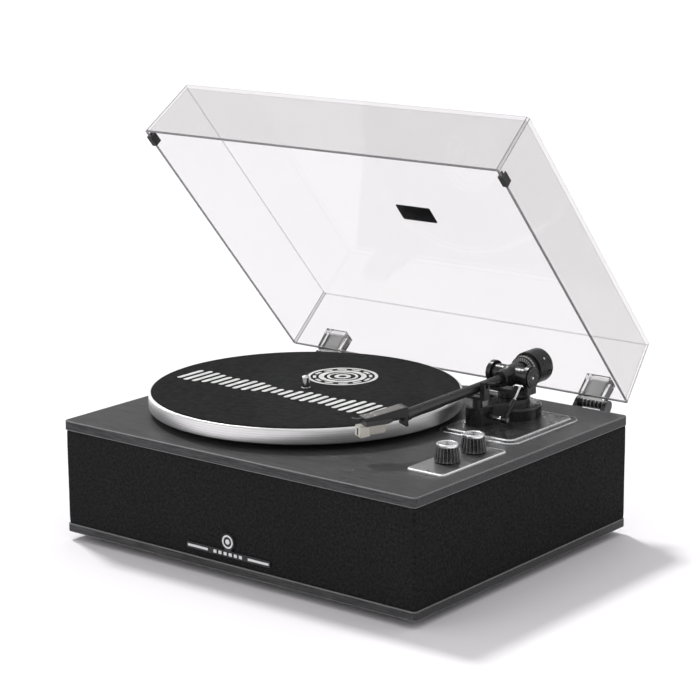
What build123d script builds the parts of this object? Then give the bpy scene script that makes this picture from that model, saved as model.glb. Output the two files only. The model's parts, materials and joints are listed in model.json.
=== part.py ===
"""Belt-drive record player: a speaker plinth with a hinged clear cover, a platter and a straight tonearm.

Frame: +Z up, the front faces -Y, the tonearm is on +X. Every size below is measured from the floor under the
plinth's centre. The saved parts are moved forward by overhang_shift, which puts the origin under the middle of the
whole player, its open cover included.
"""
import math
import os

from build123d import *

os.makedirs("parts", exist_ok=True)

# ---- Plinth -------------------------------------------------------------------------------------
plinth_width = 408.0
plinth_depth = 330.0
board_corner_radius = 4.0
foot_height = 8.0
foot_radius = 15.0
foot_inset_x = 30.0
foot_inset_y = 30.0
bottom_board_thickness = 8.0
top_board_thickness = 9.0
wall_height = 90.5
wall_thickness = 12.0
cloth_thickness = 1.2
cloth_inset = 1.0
grille_frame_thickness = 8.0
rear_panel_inset = 2.0

wall_bottom = foot_height + bottom_board_thickness
wall_top = wall_bottom + wall_height
deck = wall_top + top_board_thickness
wall_mid = wall_bottom + wall_height / 2
half_width = plinth_width / 2
half_depth = plinth_depth / 2
cloth_x = half_width - cloth_inset
cloth_front = -half_depth + cloth_inset
grille_front = cloth_front + cloth_thickness
baffle_front = grille_front + grille_frame_thickness
baffle_back = baffle_front + wall_thickness
rear_face = half_depth - rear_panel_inset
side_outer = cloth_x - cloth_thickness

# ---- Speakers -----------------------------------------------------------------------------------
speaker_x = 120.0
speaker_hole_radius = 35.0
speaker_flange_radius = 40.0
grille_hole_radius = 42.0
cone_depth = 14.0
magnet_radius = 22.0

# ---- Platter and drive --------------------------------------------------------------------------
platter_x = -49.9
platter_y = 2.2
platter_radius = 148.0
platter_bottom = deck + 6.0
platter_top = deck + 20.6
platter_disc_thickness = 4.0
platter_rim_thickness = 6.0
mat_radius = 145.2
mat_top = deck + 21.3
mat_thickness = 2.5
belt_ring_radius = 82.0
belt_gap = 0.3
belt_thickness = 0.8
belt_bottom = deck + 8.5
belt_height = 5.0
spindle_radius = 3.6
bearing_shaft_radius = 4.5
spindle_top = mat_top + 11.4
bearing_clearance = 0.06
motor_x = -127.0
motor_y = 80.0
motor_radius = 17.5
pulley_radius = 7.5

# ---- Controls -----------------------------------------------------------------------------------
knob_plate_x = 167.2
knob_plate_y = -55.0
knob_plate_width = 39.5
knob_plate_length = 96.0
knob_plate_thickness = 2.0
knob_x = 165.0
near_knob_y = -66.5
far_knob_y = -27.5
knob_base_radius = 11.6
knob_top_radius = 9.9
knob_body_height = 13.6
knob_cap_radius = 9.7
knob_cap_height = 2.9
knob_gap = 0.5
knob_flutes = 28
knob_shaft_radius = 3.0
knob_screw_offset = 39.0

# ---- Tonearm ------------------------------------------------------------------------------------
pivot_x = 122.0
pivot_y = 94.0
pivot_z = deck + 41.0
arm_slope = 1.27
plate_left = 98.0
plate_right = 173.5
plate_front = 18.0
plate_back = 121.0
plate_height = 3.0
plate_border = 5.5
base_top = deck + 21.0
turret_top = deck + 15.0
turret_radius = 27.5
lobe_x = 116.0
lobe_y = 44.0
lobe_radius = 9.0
hub_radius = 17.0
yoke_cheek_radius = 11.0
yoke_inner = 18.0
yoke_outer = 22.0
yaw_shaft_radius = 6.0
running_gap = 0.06
tube_front_radius = 4.9
tube_rear_radius = 4.3
collar_distance = 160.0
headshell_angle = 27.0
headshell_width = 14.0
stub_radius = 5.0
dial_radius = 13.5
weight_radius = 16.0
rest_y = 38.0
lifter_arc_radius = 43.5
lifter_lift = 4.0
lever_y = 56.0
lever_z = deck + 9.0

# ---- Dust cover ---------------------------------------------------------------------------------
cover_angle = 48.9
cover_width = 405.4
cover_length = 328.0
cover_height = 64.6
cover_wall = 2.6
draft_side = 5.1
draft_front = 5.7
draft_rear = 6.0
cover_corner_radius = 3.2
hinge_x = 159.0
hinge_axis_y = 176.0
hinge_axis_z = deck + 2.0
hinge_back = 11.6
hinge_up = 0.4

# ---- Badge --------------------------------------------------------------------------------------
badge_x = -2.5
badge_z = 25.6
badge_width = 98.0
badge_height = 6.0
badge_disc_z = 37.0
badge_disc_radius = 7.6
badge_thickness = 1.5

# ---- Frame --------------------------------------------------------------------------------------
overhang_shift = 23.455


def save(piece, name):
    placed = piece.moved(Location((0, -overhang_shift, 0)))
    placed.label = name
    export_step(placed, f"parts/{name}.step")


def box_between(x0, x1, y0, y1, z0, z1):
    """A box added to the active part, from its low corner to its high corner."""
    with BuildSketch(Plane.XY.offset(z0)) as footprint:
        with Locations(((x0 + x1) / 2, (y0 + y1) / 2)):
            Rectangle(x1 - x0, y1 - y0)
    extrude(footprint.sketch, amount=z1 - z0)


def disc_at(x, y, z0, z1, radius, mode=Mode.ADD):
    """An upright cylinder added to, or cut from, the active part."""
    with BuildSketch(Plane.XY.offset(z0)) as footprint:
        with Locations((x, y)):
            Circle(radius)
    extrude(footprint.sketch, amount=z1 - z0, mode=mode)


# ---- Boards -------------------------------------------------------------------------------------
with BuildPart() as top_board:
    with BuildSketch(Plane.XY.offset(wall_top)):
        RectangleRounded(plinth_width, plinth_depth, board_corner_radius)
    extrude(amount=top_board_thickness)
    chamfer(top_board.faces().sort_by(Axis.Z)[-1].outer_wire().edges(), 0.5)
    disc_at(platter_x, platter_y, wall_top, deck, 10.0, Mode.SUBTRACT)
    disc_at(motor_x, motor_y, wall_top, deck, 11.0, Mode.SUBTRACT)
    disc_at(knob_x, near_knob_y, wall_top, deck, 4.5, Mode.SUBTRACT)
    disc_at(knob_x, far_knob_y, wall_top, deck, 4.5, Mode.SUBTRACT)
    disc_at(pivot_x, pivot_y, wall_top, deck, 8.0, Mode.SUBTRACT)
save(top_board.part, "top_board")

with BuildPart() as bottom_board:
    with BuildSketch(Plane.XY.offset(foot_height)):
        RectangleRounded(plinth_width, plinth_depth, board_corner_radius)
    extrude(amount=bottom_board_thickness)
    chamfer(bottom_board.faces().sort_by(Axis.Z)[-1].outer_wire().edges(), 0.5)
save(bottom_board.part, "bottom_board")

with BuildPart() as feet:
    with BuildSketch():
        with GridLocations(plinth_width - 2 * foot_inset_x, plinth_depth - 2 * foot_inset_y, 2, 2):
            Circle(foot_radius)
    extrude(amount=foot_height)
    chamfer(feet.edges().group_by(Axis.Z)[0], 1.0)
save(feet.part, "feet")

# ---- Walls --------------------------------------------------------------------------------------
with BuildPart() as front_baffle:
    box_between(-side_outer, side_outer, baffle_front, baffle_back, wall_bottom, wall_top)
    with BuildSketch(Plane.XZ.offset(-baffle_front)):
        with Locations((-speaker_x, wall_mid), (speaker_x, wall_mid)):
            Circle(speaker_hole_radius)
    extrude(amount=-wall_thickness, mode=Mode.SUBTRACT)
save(front_baffle.part, "front_baffle")

with BuildPart() as grille_frame:
    box_between(-side_outer, side_outer, grille_front, baffle_front, wall_bottom, wall_top)
    with BuildSketch(Plane.XZ.offset(-grille_front)):
        with Locations((-speaker_x, wall_mid), (speaker_x, wall_mid)):
            Circle(grille_hole_radius)
    extrude(amount=-grille_frame_thickness, mode=Mode.SUBTRACT)
save(grille_frame.part, "grille_frame")

for side, name in ((-1, "left_panel"), (1, "right_panel")):
    with BuildPart() as side_panel:
        x_low = min(side * side_outer, side * (side_outer - wall_thickness))
        box_between(x_low, x_low + wall_thickness, baffle_back, rear_face, wall_bottom, wall_top)
    save(side_panel.part, name)

terminal_x = 110.0
terminal_z = 62.0
terminal_width = 92.0
terminal_height = 42.0
inner_half = side_outer - wall_thickness

with BuildPart() as rear_panel:
    box_between(-inner_half, inner_half, rear_face - wall_thickness, rear_face, wall_bottom, wall_top)
    with BuildSketch(Plane.XZ.offset(-rear_face)):
        with Locations((terminal_x, terminal_z)):
            Rectangle(terminal_width - 12, terminal_height - 12)
    extrude(amount=wall_thickness, mode=Mode.SUBTRACT)
save(rear_panel.part, "rear_panel")

# ---- Grille cloth -------------------------------------------------------------------------------
with BuildPart() as front_grille_cloth:
    with BuildSketch(Plane.XY.offset(wall_bottom)) as cloth_outline:
        with Locations((0, (cloth_front + baffle_front) / 2)):
            Rectangle(2 * cloth_x, baffle_front - cloth_front)
        fillet(cloth_outline.vertices().group_by(Axis.Y)[0], board_corner_radius - cloth_inset)
        with Locations((0, (grille_front + baffle_front) / 2)):
            Rectangle(2 * side_outer, baffle_front - grille_front, mode=Mode.SUBTRACT)
    extrude(amount=wall_height)
save(front_grille_cloth.part, "front_grille_cloth")

for side, name in ((-1, "left_grille_cloth"), (1, "right_grille_cloth")):
    with BuildPart() as side_cloth:
        x_low = min(side * cloth_x, side * side_outer)
        box_between(x_low, x_low + cloth_thickness, baffle_front, rear_face, wall_bottom, wall_top)
    save(side_cloth.part, name)

# ---- Badge --------------------------------------------------------------------------------------
with BuildPart() as badge_plate:
    with BuildSketch(Plane.XZ.offset(-cloth_front)):
        with Locations((badge_x, badge_z)):
            RectangleRounded(badge_width, badge_height, 1.2)
        with Locations((badge_x, badge_disc_z)):
            Circle(badge_disc_radius)
        with Locations((badge_x, (badge_z + badge_disc_z) / 2)):
            Rectangle(8, badge_disc_z - badge_z)
    extrude(amount=badge_thickness)
save(badge_plate.part, "badge_plate")

with BuildPart() as badge_inlay:
    with BuildSketch(Plane.XZ.offset(-cloth_front + badge_thickness)):
        with Locations((badge_x - 35.5, badge_z), (badge_x + 35.5, badge_z)):
            Rectangle(24, 2.2)
        with Locations((badge_x, badge_disc_z)):
            Circle(6.2)
            Circle(4.6, mode=Mode.SUBTRACT)
            Circle(2.4)
        with Locations((badge_x, badge_z)):
            with GridLocations(6, 0, 6, 1):
                RectangleRounded(3.6, 3.0, 0.6)
    extrude(amount=0.4)
save(badge_inlay.part, "badge_inlay")

# ---- Speakers -----------------------------------------------------------------------------------
for side, name in ((-1, "left_speaker"), (1, "right_speaker")):
    driver = Plane(origin=(side * speaker_x, baffle_front, wall_mid), x_dir=(0, 0, 1), z_dir=(1, 0, 0))
    with BuildPart() as basket:
        with BuildSketch(driver):
            with BuildLine():
                Polyline(
                    (speaker_hole_radius - 3, 2), (speaker_flange_radius, 2), (speaker_flange_radius, 0),
                    (speaker_hole_radius - 0.5, 0), (speaker_hole_radius - 0.5, -wall_thickness),
                    (18, -wall_thickness - 16), (18, -wall_thickness - 18), (14, -wall_thickness - 18),
                    (14, -wall_thickness - 13), (speaker_hole_radius - 3, -wall_thickness), close=True)
            make_face()
        revolve(axis=Axis((side * speaker_x, 0, wall_mid), (0, 1, 0)))
    save(basket.part, f"{name}_basket")
    with BuildPart() as cone:
        with BuildSketch(driver):
            with BuildLine():
                Polyline((0, -4), (8, -cone_depth + 2), (27, -2), (29.5, 1.5), (speaker_hole_radius - 3, 0.4),
                         (speaker_hole_radius - 3, -0.8), (29.5, 0.3), (27, -3.2), (8, -cone_depth), (0, -5.4),
                         close=True)
            make_face()
        revolve(axis=Axis((side * speaker_x, 0, wall_mid), (0, 1, 0)))
    save(cone.part, f"{name}_cone")
    with BuildPart() as magnet:
        with BuildSketch(Plane.XZ.offset(-baffle_front - wall_thickness - 18)):
            with Locations((side * speaker_x, wall_mid)):
                Circle(magnet_radius)
        extrude(amount=-14)
        chamfer(magnet.edges(), 1)
    save(magnet.part, f"{name}_magnet")

# ---- Electronics --------------------------------------------------------------------------------
board_x = 90.0
board_y = 75.0
board_bottom = wall_bottom + 6.0
with BuildPart() as amplifier_board:
    box_between(board_x - 55, board_x + 55, board_y - 40, board_y + 40, board_bottom, board_bottom + 1.6)
    box_between(board_x - 50, board_x - 42, board_y - 30, board_y + 30, board_bottom + 1.6, board_bottom + 24)
    with BuildSketch(Plane.XY.offset(wall_bottom)):
        with Locations((board_x, board_y)):
            with GridLocations(98, 68, 2, 2):
                Circle(3)
    extrude(amount=board_bottom - wall_bottom)
    with BuildSketch(Plane.XY.offset(board_bottom + 1.6)):
        with Locations((board_x + 10, board_y)):
            with GridLocations(22, 26, 3, 2):
                Circle(6)
    extrude(amount=18)
save(amplifier_board.part, "amplifier_board")

for y, name in ((near_knob_y, "volume_potentiometer"), (far_knob_y, "selector_switch")):
    with BuildPart() as control:
        disc_at(knob_x, y, wall_top - 11, wall_top, 12.0)
        disc_at(knob_x, y, wall_top, deck, 4.4)
        disc_at(knob_x, y, wall_top - 9, deck, knob_shaft_radius + running_gap, Mode.SUBTRACT)
    save(control.part, name)

# ---- Rear terminals -----------------------------------------------------------------------------
jack_radius = 4.15
jack_length = 9.5
inlet_x = terminal_x + 25
inlet_bore_radius = 2.75
terminal_back = rear_face + 2.0
with BuildPart() as terminal_plate:
    with BuildSketch(Plane.XZ.offset(-terminal_back)):
        with Locations((terminal_x, terminal_z)):
            RectangleRounded(terminal_width, terminal_height, 3)
        with Locations((terminal_x - 22, terminal_z), (terminal_x - 4, terminal_z)):
            Circle(3.0, mode=Mode.SUBTRACT)
        with Locations((inlet_x, terminal_z)):
            Circle(6.0, mode=Mode.SUBTRACT)
    extrude(amount=2.0)
save(terminal_plate.part, "terminal_plate")

with BuildPart() as rca_jacks:
    with BuildSketch(Plane.XZ.offset(-terminal_back + 12)):
        with Locations((terminal_x - 22, terminal_z), (terminal_x - 4, terminal_z)):
            Circle(3.0)
    extrude(amount=-12)
    with BuildSketch(Plane.XZ.offset(-terminal_back)):
        with Locations((terminal_x - 22, terminal_z), (terminal_x - 4, terminal_z)):
            Circle(jack_radius)
    extrude(amount=-jack_length)
    with BuildSketch(Plane.XZ.offset(-terminal_back - jack_length)):
        with Locations((terminal_x - 22, terminal_z), (terminal_x - 4, terminal_z)):
            Circle(1.6)
    extrude(amount=8, mode=Mode.SUBTRACT)
save(rca_jacks.part, "rca_jacks")

with BuildPart() as dc_inlet:
    with BuildSketch(Plane.XZ.offset(-terminal_back + 14)):
        with Locations((inlet_x, terminal_z)):
            Circle(6.0)
    extrude(amount=-15)
    with BuildSketch(Plane.XZ.offset(-terminal_back - 1)):
        with Locations((inlet_x, terminal_z)):
            Circle(inlet_bore_radius)
            Circle(1.0, mode=Mode.SUBTRACT)
    extrude(amount=9.5, mode=Mode.SUBTRACT)
save(dc_inlet.part, "dc_inlet")

# ---- Motor, belt and bearing --------------------------------------------------------------------
with BuildPart() as motor:
    disc_at(motor_x, motor_y, wall_top - 28, wall_top - 3, motor_radius)
    with BuildSketch(Plane.XY.offset(wall_top - 3)):
        with Locations((motor_x, motor_y)):
            SlotCenterToCenter(44, 16)
            Circle(motor_radius)
    extrude(amount=3)
    disc_at(motor_x, motor_y, wall_top - 12, wall_top, 2.5 + running_gap, Mode.SUBTRACT)
save(motor.part, "motor")

with BuildPart() as motor_pulley:
    disc_at(motor_x, motor_y, wall_top - 11, deck + 14.2, 2.5)
    disc_at(motor_x, motor_y, deck + 7, deck + 14, pulley_radius)
    with BuildSketch(Plane.XY.offset(deck + 7)):
        with Locations((motor_x, motor_y)):
            Circle(pulley_radius + 1)
    extrude(amount=1)
save(motor_pulley.part, "motor_pulley")

with BuildPart() as drive_belt:
    with BuildSketch(Plane.XY.offset(belt_bottom)):
        with Locations((platter_x, platter_y)):
            Circle(belt_ring_radius + belt_gap + belt_thickness)
        with Locations((motor_x, motor_y)):
            Circle(pulley_radius + belt_gap + belt_thickness)
        make_hull()
        offset(amount=-belt_thickness, mode=Mode.SUBTRACT)
    extrude(amount=belt_height)
save(drive_belt.part, "drive_belt")

with BuildPart() as bearing_housing:
    disc_at(platter_x, platter_y, deck - 46, deck + 3, 10.0)
    disc_at(platter_x, platter_y, wall_top - 4, wall_top, 22.0)
    disc_at(platter_x, platter_y, deck - 43, deck + 3, bearing_shaft_radius + bearing_clearance, Mode.SUBTRACT)
save(bearing_housing.part, "bearing_housing")

with BuildPart() as spindle:
    disc_at(platter_x, platter_y, deck - 42.8, mat_top, bearing_shaft_radius)
    disc_at(platter_x, platter_y, mat_top, spindle_top, spindle_radius)
    disc_at(platter_x, platter_y, deck + 3.4, deck + 7, 9.0)
    fillet(spindle.edges().sort_by(Axis.Z)[-1], 2.2)
save(spindle.part, "spindle")

platter_profile = Plane(origin=(platter_x, platter_y, 0), x_dir=(1, 0, 0), z_dir=(0, -1, 0))
disc_bottom = mat_top - mat_thickness - platter_disc_thickness
rim_inner = platter_radius - platter_rim_thickness
with BuildPart() as platter:
    with BuildSketch(platter_profile):
        with BuildLine():
            Polyline(
                (bearing_shaft_radius, deck + 7), (16, deck + 7), (16, disc_bottom), (belt_ring_radius - 4, disc_bottom),
                (belt_ring_radius - 4, deck + 7.5), (belt_ring_radius, deck + 7.5), (belt_ring_radius, disc_bottom),
                (rim_inner, disc_bottom), (rim_inner, platter_bottom), (platter_radius - 1, platter_bottom),
                (platter_radius, platter_bottom + 1), (platter_radius, platter_top - 1.4),
                (platter_radius - 1.4, platter_top), (mat_radius + 0.2, platter_top),
                (mat_radius + 0.2, mat_top - mat_thickness), (bearing_shaft_radius, mat_top - mat_thickness),
                close=True)
        make_face()
    revolve(axis=Axis((platter_x, platter_y, 0), (0, 0, 1)))
save(platter.part, "platter")

with BuildPart() as platter_mat:
    with BuildSketch(Plane.XY.offset(mat_top - mat_thickness)):
        with Locations((platter_x, platter_y)):
            Circle(mat_radius)
            Circle(bearing_shaft_radius + 0.4, mode=Mode.SUBTRACT)
    extrude(amount=mat_thickness)
    fillet(platter_mat.edges().group_by(Axis.Z)[-1].sort_by(SortBy.LENGTH)[-1], 0.5)
save(platter_mat.part, "platter_mat")

# ---- Controls -----------------------------------------------------------------------------------
with BuildPart() as knob_plate:
    with BuildSketch(Plane.XY.offset(deck)):
        with Locations((knob_plate_x, knob_plate_y)):
            RectangleRounded(knob_plate_width, knob_plate_length, 4)
        with Locations((knob_x, near_knob_y), (knob_x, far_knob_y)):
            Circle(4.5, mode=Mode.SUBTRACT)
    extrude(amount=knob_plate_thickness)
    chamfer(knob_plate.faces().sort_by(Axis.Z)[-1].outer_wire().edges(), 0.8)
save(knob_plate.part, "knob_plate")

plate_top_z = deck + knob_plate_thickness
with BuildPart() as knob_plate_screws:
    with BuildSketch(Plane.XY.offset(plate_top_z)):
        with Locations((knob_plate_x, knob_plate_y - knob_screw_offset - 4),
                       (knob_plate_x, knob_plate_y + knob_screw_offset + 4)):
            Circle(1.9)
    extrude(amount=0.8)
    with BuildSketch(Plane.XY.offset(plate_top_z + 0.3)):
        with Locations((knob_plate_x, knob_plate_y - knob_screw_offset - 4),
                       (knob_plate_x, knob_plate_y + knob_screw_offset + 4)):
            Rectangle(2.4, 0.5)
            Rectangle(0.5, 2.4)
    extrude(amount=0.5, mode=Mode.SUBTRACT)
save(knob_plate_screws.part, "knob_plate_screws")


def fluted_knob(x, y):
    """A tapered knob body with flutes and its shaft, built into the active part."""
    bottom = plate_top_z + knob_gap
    knob_profile = Plane(origin=(x, y, 0), x_dir=(1, 0, 0), z_dir=(0, -1, 0))
    with BuildSketch(knob_profile) as half_section:
        with BuildLine():
            Polyline((0, bottom), (knob_base_radius - 0.8, bottom), (knob_base_radius, bottom + 0.8),
                     (knob_base_radius, bottom + 4), (knob_top_radius, bottom + knob_body_height),
                     (0, bottom + knob_body_height), close=True)
        make_face()
    revolve(half_section.sketch, axis=Axis((x, y, 0), (0, 0, 1)))
    with BuildSketch(Plane.XY.offset(bottom)) as flutes:
        with Locations((x, y)):
            with PolarLocations(knob_base_radius - 0.1, knob_flutes):
                Circle(0.8)
    extrude(flutes.sketch, amount=knob_body_height, mode=Mode.SUBTRACT)
    disc_at(x, y, wall_top - 8, bottom, knob_shaft_radius)


for y, name in ((near_knob_y, "volume_knob"), (far_knob_y, "selector_knob")):
    with BuildPart() as knob:
        fluted_knob(knob_x, y)
    save(knob.part, name)
    cap_bottom = plate_top_z + knob_gap + knob_body_height
    with BuildPart() as knob_cap:
        disc_at(knob_x, y, cap_bottom, cap_bottom + knob_cap_height, knob_cap_radius)
        chamfer(knob_cap.edges().group_by(Axis.Z)[-1], 0.9)
        disc_at(knob_x, y, cap_bottom + knob_cap_height - 0.4, cap_bottom + knob_cap_height, 6.5, Mode.SUBTRACT)
    save(knob_cap.part, f"{name}_cap")

# ---- Tonearm plate and base ---------------------------------------------------------------------
plate_mid_x = (plate_left + plate_right) / 2
plate_mid_y = (plate_front + plate_back) / 2
plate_width = plate_right - plate_left
plate_length = plate_back - plate_front
with BuildPart() as tonearm_plate:
    with BuildSketch(Plane.XY.offset(deck)):
        with Locations((plate_mid_x, plate_mid_y)):
            RectangleRounded(plate_width + 2 * plate_border, plate_length + 2 * plate_border, 12)
    extrude(amount=1.2)
    chamfer(tonearm_plate.faces().sort_by(Axis.Z)[-1].outer_wire().edges(), 0.6)
    with BuildSketch(Plane.XY.offset(deck + 0.8)):
        with Locations((plate_mid_x, plate_mid_y)):
            RectangleRounded(plate_width + 7, plate_length + 7, 10)
            RectangleRounded(plate_width, plate_length, 8, mode=Mode.SUBTRACT)
    extrude(amount=0.4, mode=Mode.SUBTRACT)
    with BuildSketch(Plane.XY.offset(deck + 0.8)):
        with Locations((plate_mid_x, plate_mid_y)):
            RectangleRounded(plate_width, plate_length, 8)
    extrude(amount=plate_height - 0.8)
    chamfer(tonearm_plate.faces().sort_by(Axis.Z)[-1].outer_wire().edges(), 1.0)
    disc_at(pivot_x, pivot_y, deck, deck + plate_height, 8.0, Mode.SUBTRACT)
save(tonearm_plate.part, "tonearm_plate")

base_bottom = deck + plate_height
lifter_angle = math.radians(-97)
lifter_rod_x = pivot_x + lifter_arc_radius * math.cos(lifter_angle)
lifter_rod_y = pivot_y + lifter_arc_radius * math.sin(lifter_angle)
with BuildPart() as tonearm_base:
    disc_at(pivot_x, pivot_y, base_bottom, turret_top, turret_radius)
    fillet(tonearm_base.edges().group_by(Axis.Z)[-1], 2.5)
    with BuildSketch(Plane.XY.offset(base_bottom)):
        with Locations((lobe_x, lobe_y)):
            Circle(lobe_radius)
        with Locations((pivot_x, pivot_y)):
            Circle(hub_radius)
        make_hull()
    extrude(amount=base_top - base_bottom)
    chamfer(tonearm_base.faces().sort_by(Axis.Z)[-1].outer_wire().edges(), 0.8)
    disc_at(pivot_x, pivot_y, base_bottom, base_top, yaw_shaft_radius + running_gap, Mode.SUBTRACT)
    disc_at(lifter_rod_x, lifter_rod_y, base_top - 13, base_top, 2.0 + running_gap, Mode.SUBTRACT)
    with BuildSketch(Plane.YZ.offset(118)):
        with Locations((lever_y, lever_z)):
            Circle(2.0 + running_gap)
    extrude(amount=20, mode=Mode.SUBTRACT)
save(tonearm_base.part, "tonearm_base")

# ---- Gimbal -------------------------------------------------------------------------------------
yoke_floor = pivot_z - 16.0
with BuildPart() as gimbal_yoke:
    disc_at(pivot_x, pivot_y, base_bottom + 1, base_top + 0.4, yaw_shaft_radius)
    disc_at(pivot_x, pivot_y, base_top + 0.4, yoke_floor, 13.0)
    with BuildSketch(Plane.XY.offset(yoke_floor)):
        with Locations((pivot_x, pivot_y)):
            RectangleRounded(2 * yoke_outer, 16, 3)
    extrude(amount=3.5)
    for side in (-1, 1):
        cheek_low = pivot_x + min(side * yoke_inner, side * yoke_outer)
        with BuildSketch(Plane.YZ.offset(cheek_low)):
            with Locations((pivot_y, (yoke_floor + pivot_z) / 2)):
                Rectangle(14, pivot_z - yoke_floor)
            with Locations((pivot_y, pivot_z)):
                Circle(yoke_cheek_radius)
        extrude(amount=yoke_outer - yoke_inner)
        pin_low = pivot_x + min(side * (yoke_inner - 4), side * yoke_inner)
        with BuildSketch(Plane.YZ.offset(pin_low)):
            with Locations((pivot_y, pivot_z)):
                Circle(2.0)
        extrude(amount=4)
save(gimbal_yoke.part, "gimbal_yoke")

with BuildPart() as pivot_caps:
    for side in (-1, 1):
        cap_low = pivot_x + min(side * yoke_outer, side * (yoke_outer + 1.6))
        with BuildSketch(Plane.YZ.offset(cap_low)):
            with Locations((pivot_y, pivot_z)):
                Circle(9.6)
        extrude(amount=1.6)
save(pivot_caps.part, "pivot_caps")

# ---- Arm ----------------------------------------------------------------------------------------
slope = math.radians(arm_slope)
arm = Plane(origin=(pivot_x, pivot_y, pivot_z), x_dir=(1, 0, 0), z_dir=(0, -math.sin(slope), math.cos(slope)))
along = arm.y_dir
arm_axis = Axis(arm.origin, along)
arm_profile = Plane(origin=arm.origin, x_dir=(1, 0, 0), z_dir=arm.z_dir)

with BuildPart() as arm_housing:
    with BuildSketch(arm_profile):
        with BuildLine():
            Polyline((0, -20), (7.2, -20), (7.9, -19), (8.2, -10), (9.8, -6), (9.8, 9), (8.5, 12), (stub_radius, 13),
                     (stub_radius, 47), (0, 47), close=True)
        make_face()
    revolve(axis=arm_axis)
    with BuildSketch(Plane.YZ.offset(pivot_x - yoke_inner + 0.5)):
        with Locations((pivot_y, pivot_z)):
            Circle(8.4)
    extrude(amount=2 * yoke_inner - 1)
    with BuildSketch(Plane.YZ.offset(pivot_x - yoke_inner + 0.5)):
        with Locations((pivot_y, pivot_z)):
            Circle(2.0 + running_gap)
    extrude(amount=4, mode=Mode.SUBTRACT)
    with BuildSketch(Plane.YZ.offset(pivot_x + yoke_inner - 4.5)):
        with Locations((pivot_y, pivot_z)):
            Circle(2.0 + running_gap)
    extrude(amount=4, mode=Mode.SUBTRACT)
save(arm_housing.part, "arm_housing")

with BuildPart() as arm_tube:
    with BuildSketch(arm_profile):
        with BuildLine():
            Polyline((0, -20), (tube_rear_radius, -20), (tube_front_radius, -collar_distance),
                     (0, -collar_distance), close=True)
        make_face()
    revolve(axis=arm_axis)
save(arm_tube.part, "arm_tube")

# Headshell frame: +y runs forward along the shell, +x to its right, z up; its origin is the tube's front end.
shell_turn = math.radians(headshell_angle)
shell_origin = arm.from_local_coords((0, -collar_distance, 0))
shell_forward = arm.from_local_coords((-math.sin(shell_turn), -collar_distance - math.cos(shell_turn), 0)) - shell_origin
shell_right = shell_forward.cross(arm.z_dir)
shell = Plane(origin=shell_origin, x_dir=shell_right, z_dir=arm.z_dir)
shell_side = Plane(origin=shell_origin, x_dir=shell_forward, z_dir=shell_right)
half_shell = headshell_width / 2

with BuildPart() as headshell:
    with BuildSketch(shell_side.offset(-half_shell)):
        with BuildLine():
            Polyline((3, -9), (5.4, -9), (5.4, -1), (18, 0.2), (44, 0.2), (44, 3.2), (29, 4.4), (5.4, 8.2), (3, 8.2),
                     close=True)
        make_face()
    extrude(amount=headshell_width)
    with BuildSketch(Plane(origin=shell_origin, x_dir=shell_right, z_dir=-along)):
        Circle(5.6)
    extrude(amount=6)
    with BuildSketch(shell_side.offset(-2)):
        with BuildLine():
            Polyline((43.5, 1.4), (49, 1.4), (53.5, 3.2), (53.0, 4.0), (48.6, 2.5), (43.5, 2.5), close=True)
        make_face()
    extrude(amount=4)
save(headshell.part, "headshell")

with BuildPart() as cartridge:
    with BuildSketch(shell_side.offset(-half_shell + 0.4)):
        with BuildLine():
            Polyline((18, 0.2), (43, 0.2), (43, -4.2), (22, -4.2), (18, -3), close=True)
        make_face()
    extrude(amount=headshell_width - 0.8)
save(cartridge.part, "cartridge")

with BuildPart() as stylus_assembly:
    with BuildSketch(shell_side.offset(-half_shell + 0.6)):
        with BuildLine():
            Polyline((24.5, -4.2), (39, -4.2), (39, -11.6), (26, -11.6), (24.5, -10.4), close=True)
        make_face()
    extrude(amount=headshell_width - 1.2)
    with BuildSketch(shell_side.offset(-5.5)):
        with BuildLine():
            Polyline((39, -4.2), (48, -4.2), (48.6, -13.4), (47.2, -14.0), (39, -13.2), close=True)
        make_face()
    extrude(amount=11)
    with BuildSketch(shell_side.offset(-0.6)):
        with BuildLine():
            Polyline((41.6, -13.0), (44.0, -13.0), (43.0, -14.9), close=True)
        make_face()
    extrude(amount=1.2)
save(stylus_assembly.part, "stylus_assembly")


def ring_on_arm(inner, outer, start, end, bevel):
    """A bevelled ring around the arm's axis, added to the active part."""
    with BuildSketch(arm_profile) as half_section:
        with BuildLine():
            Polyline((inner, start), (outer - bevel, start), (outer, start + bevel), (outer, end - bevel),
                     (outer - bevel, end), (inner, end), close=True)
        make_face()
    revolve(half_section.sketch, axis=arm_axis)


with BuildPart() as counterweight_sleeve:
    ring_on_arm(stub_radius + running_gap, 7.0, 16, 45, 0.3)
save(counterweight_sleeve.part, "counterweight_sleeve")

with BuildPart() as force_dial:
    ring_on_arm(7.0 + running_gap, dial_radius, 16, 24, 0.8)
save(force_dial.part, "force_dial")

with BuildPart() as counterweight:
    ring_on_arm(7.0 + running_gap, weight_radius, 24.5, 45, 1.2)
save(counterweight.part, "counterweight")

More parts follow.
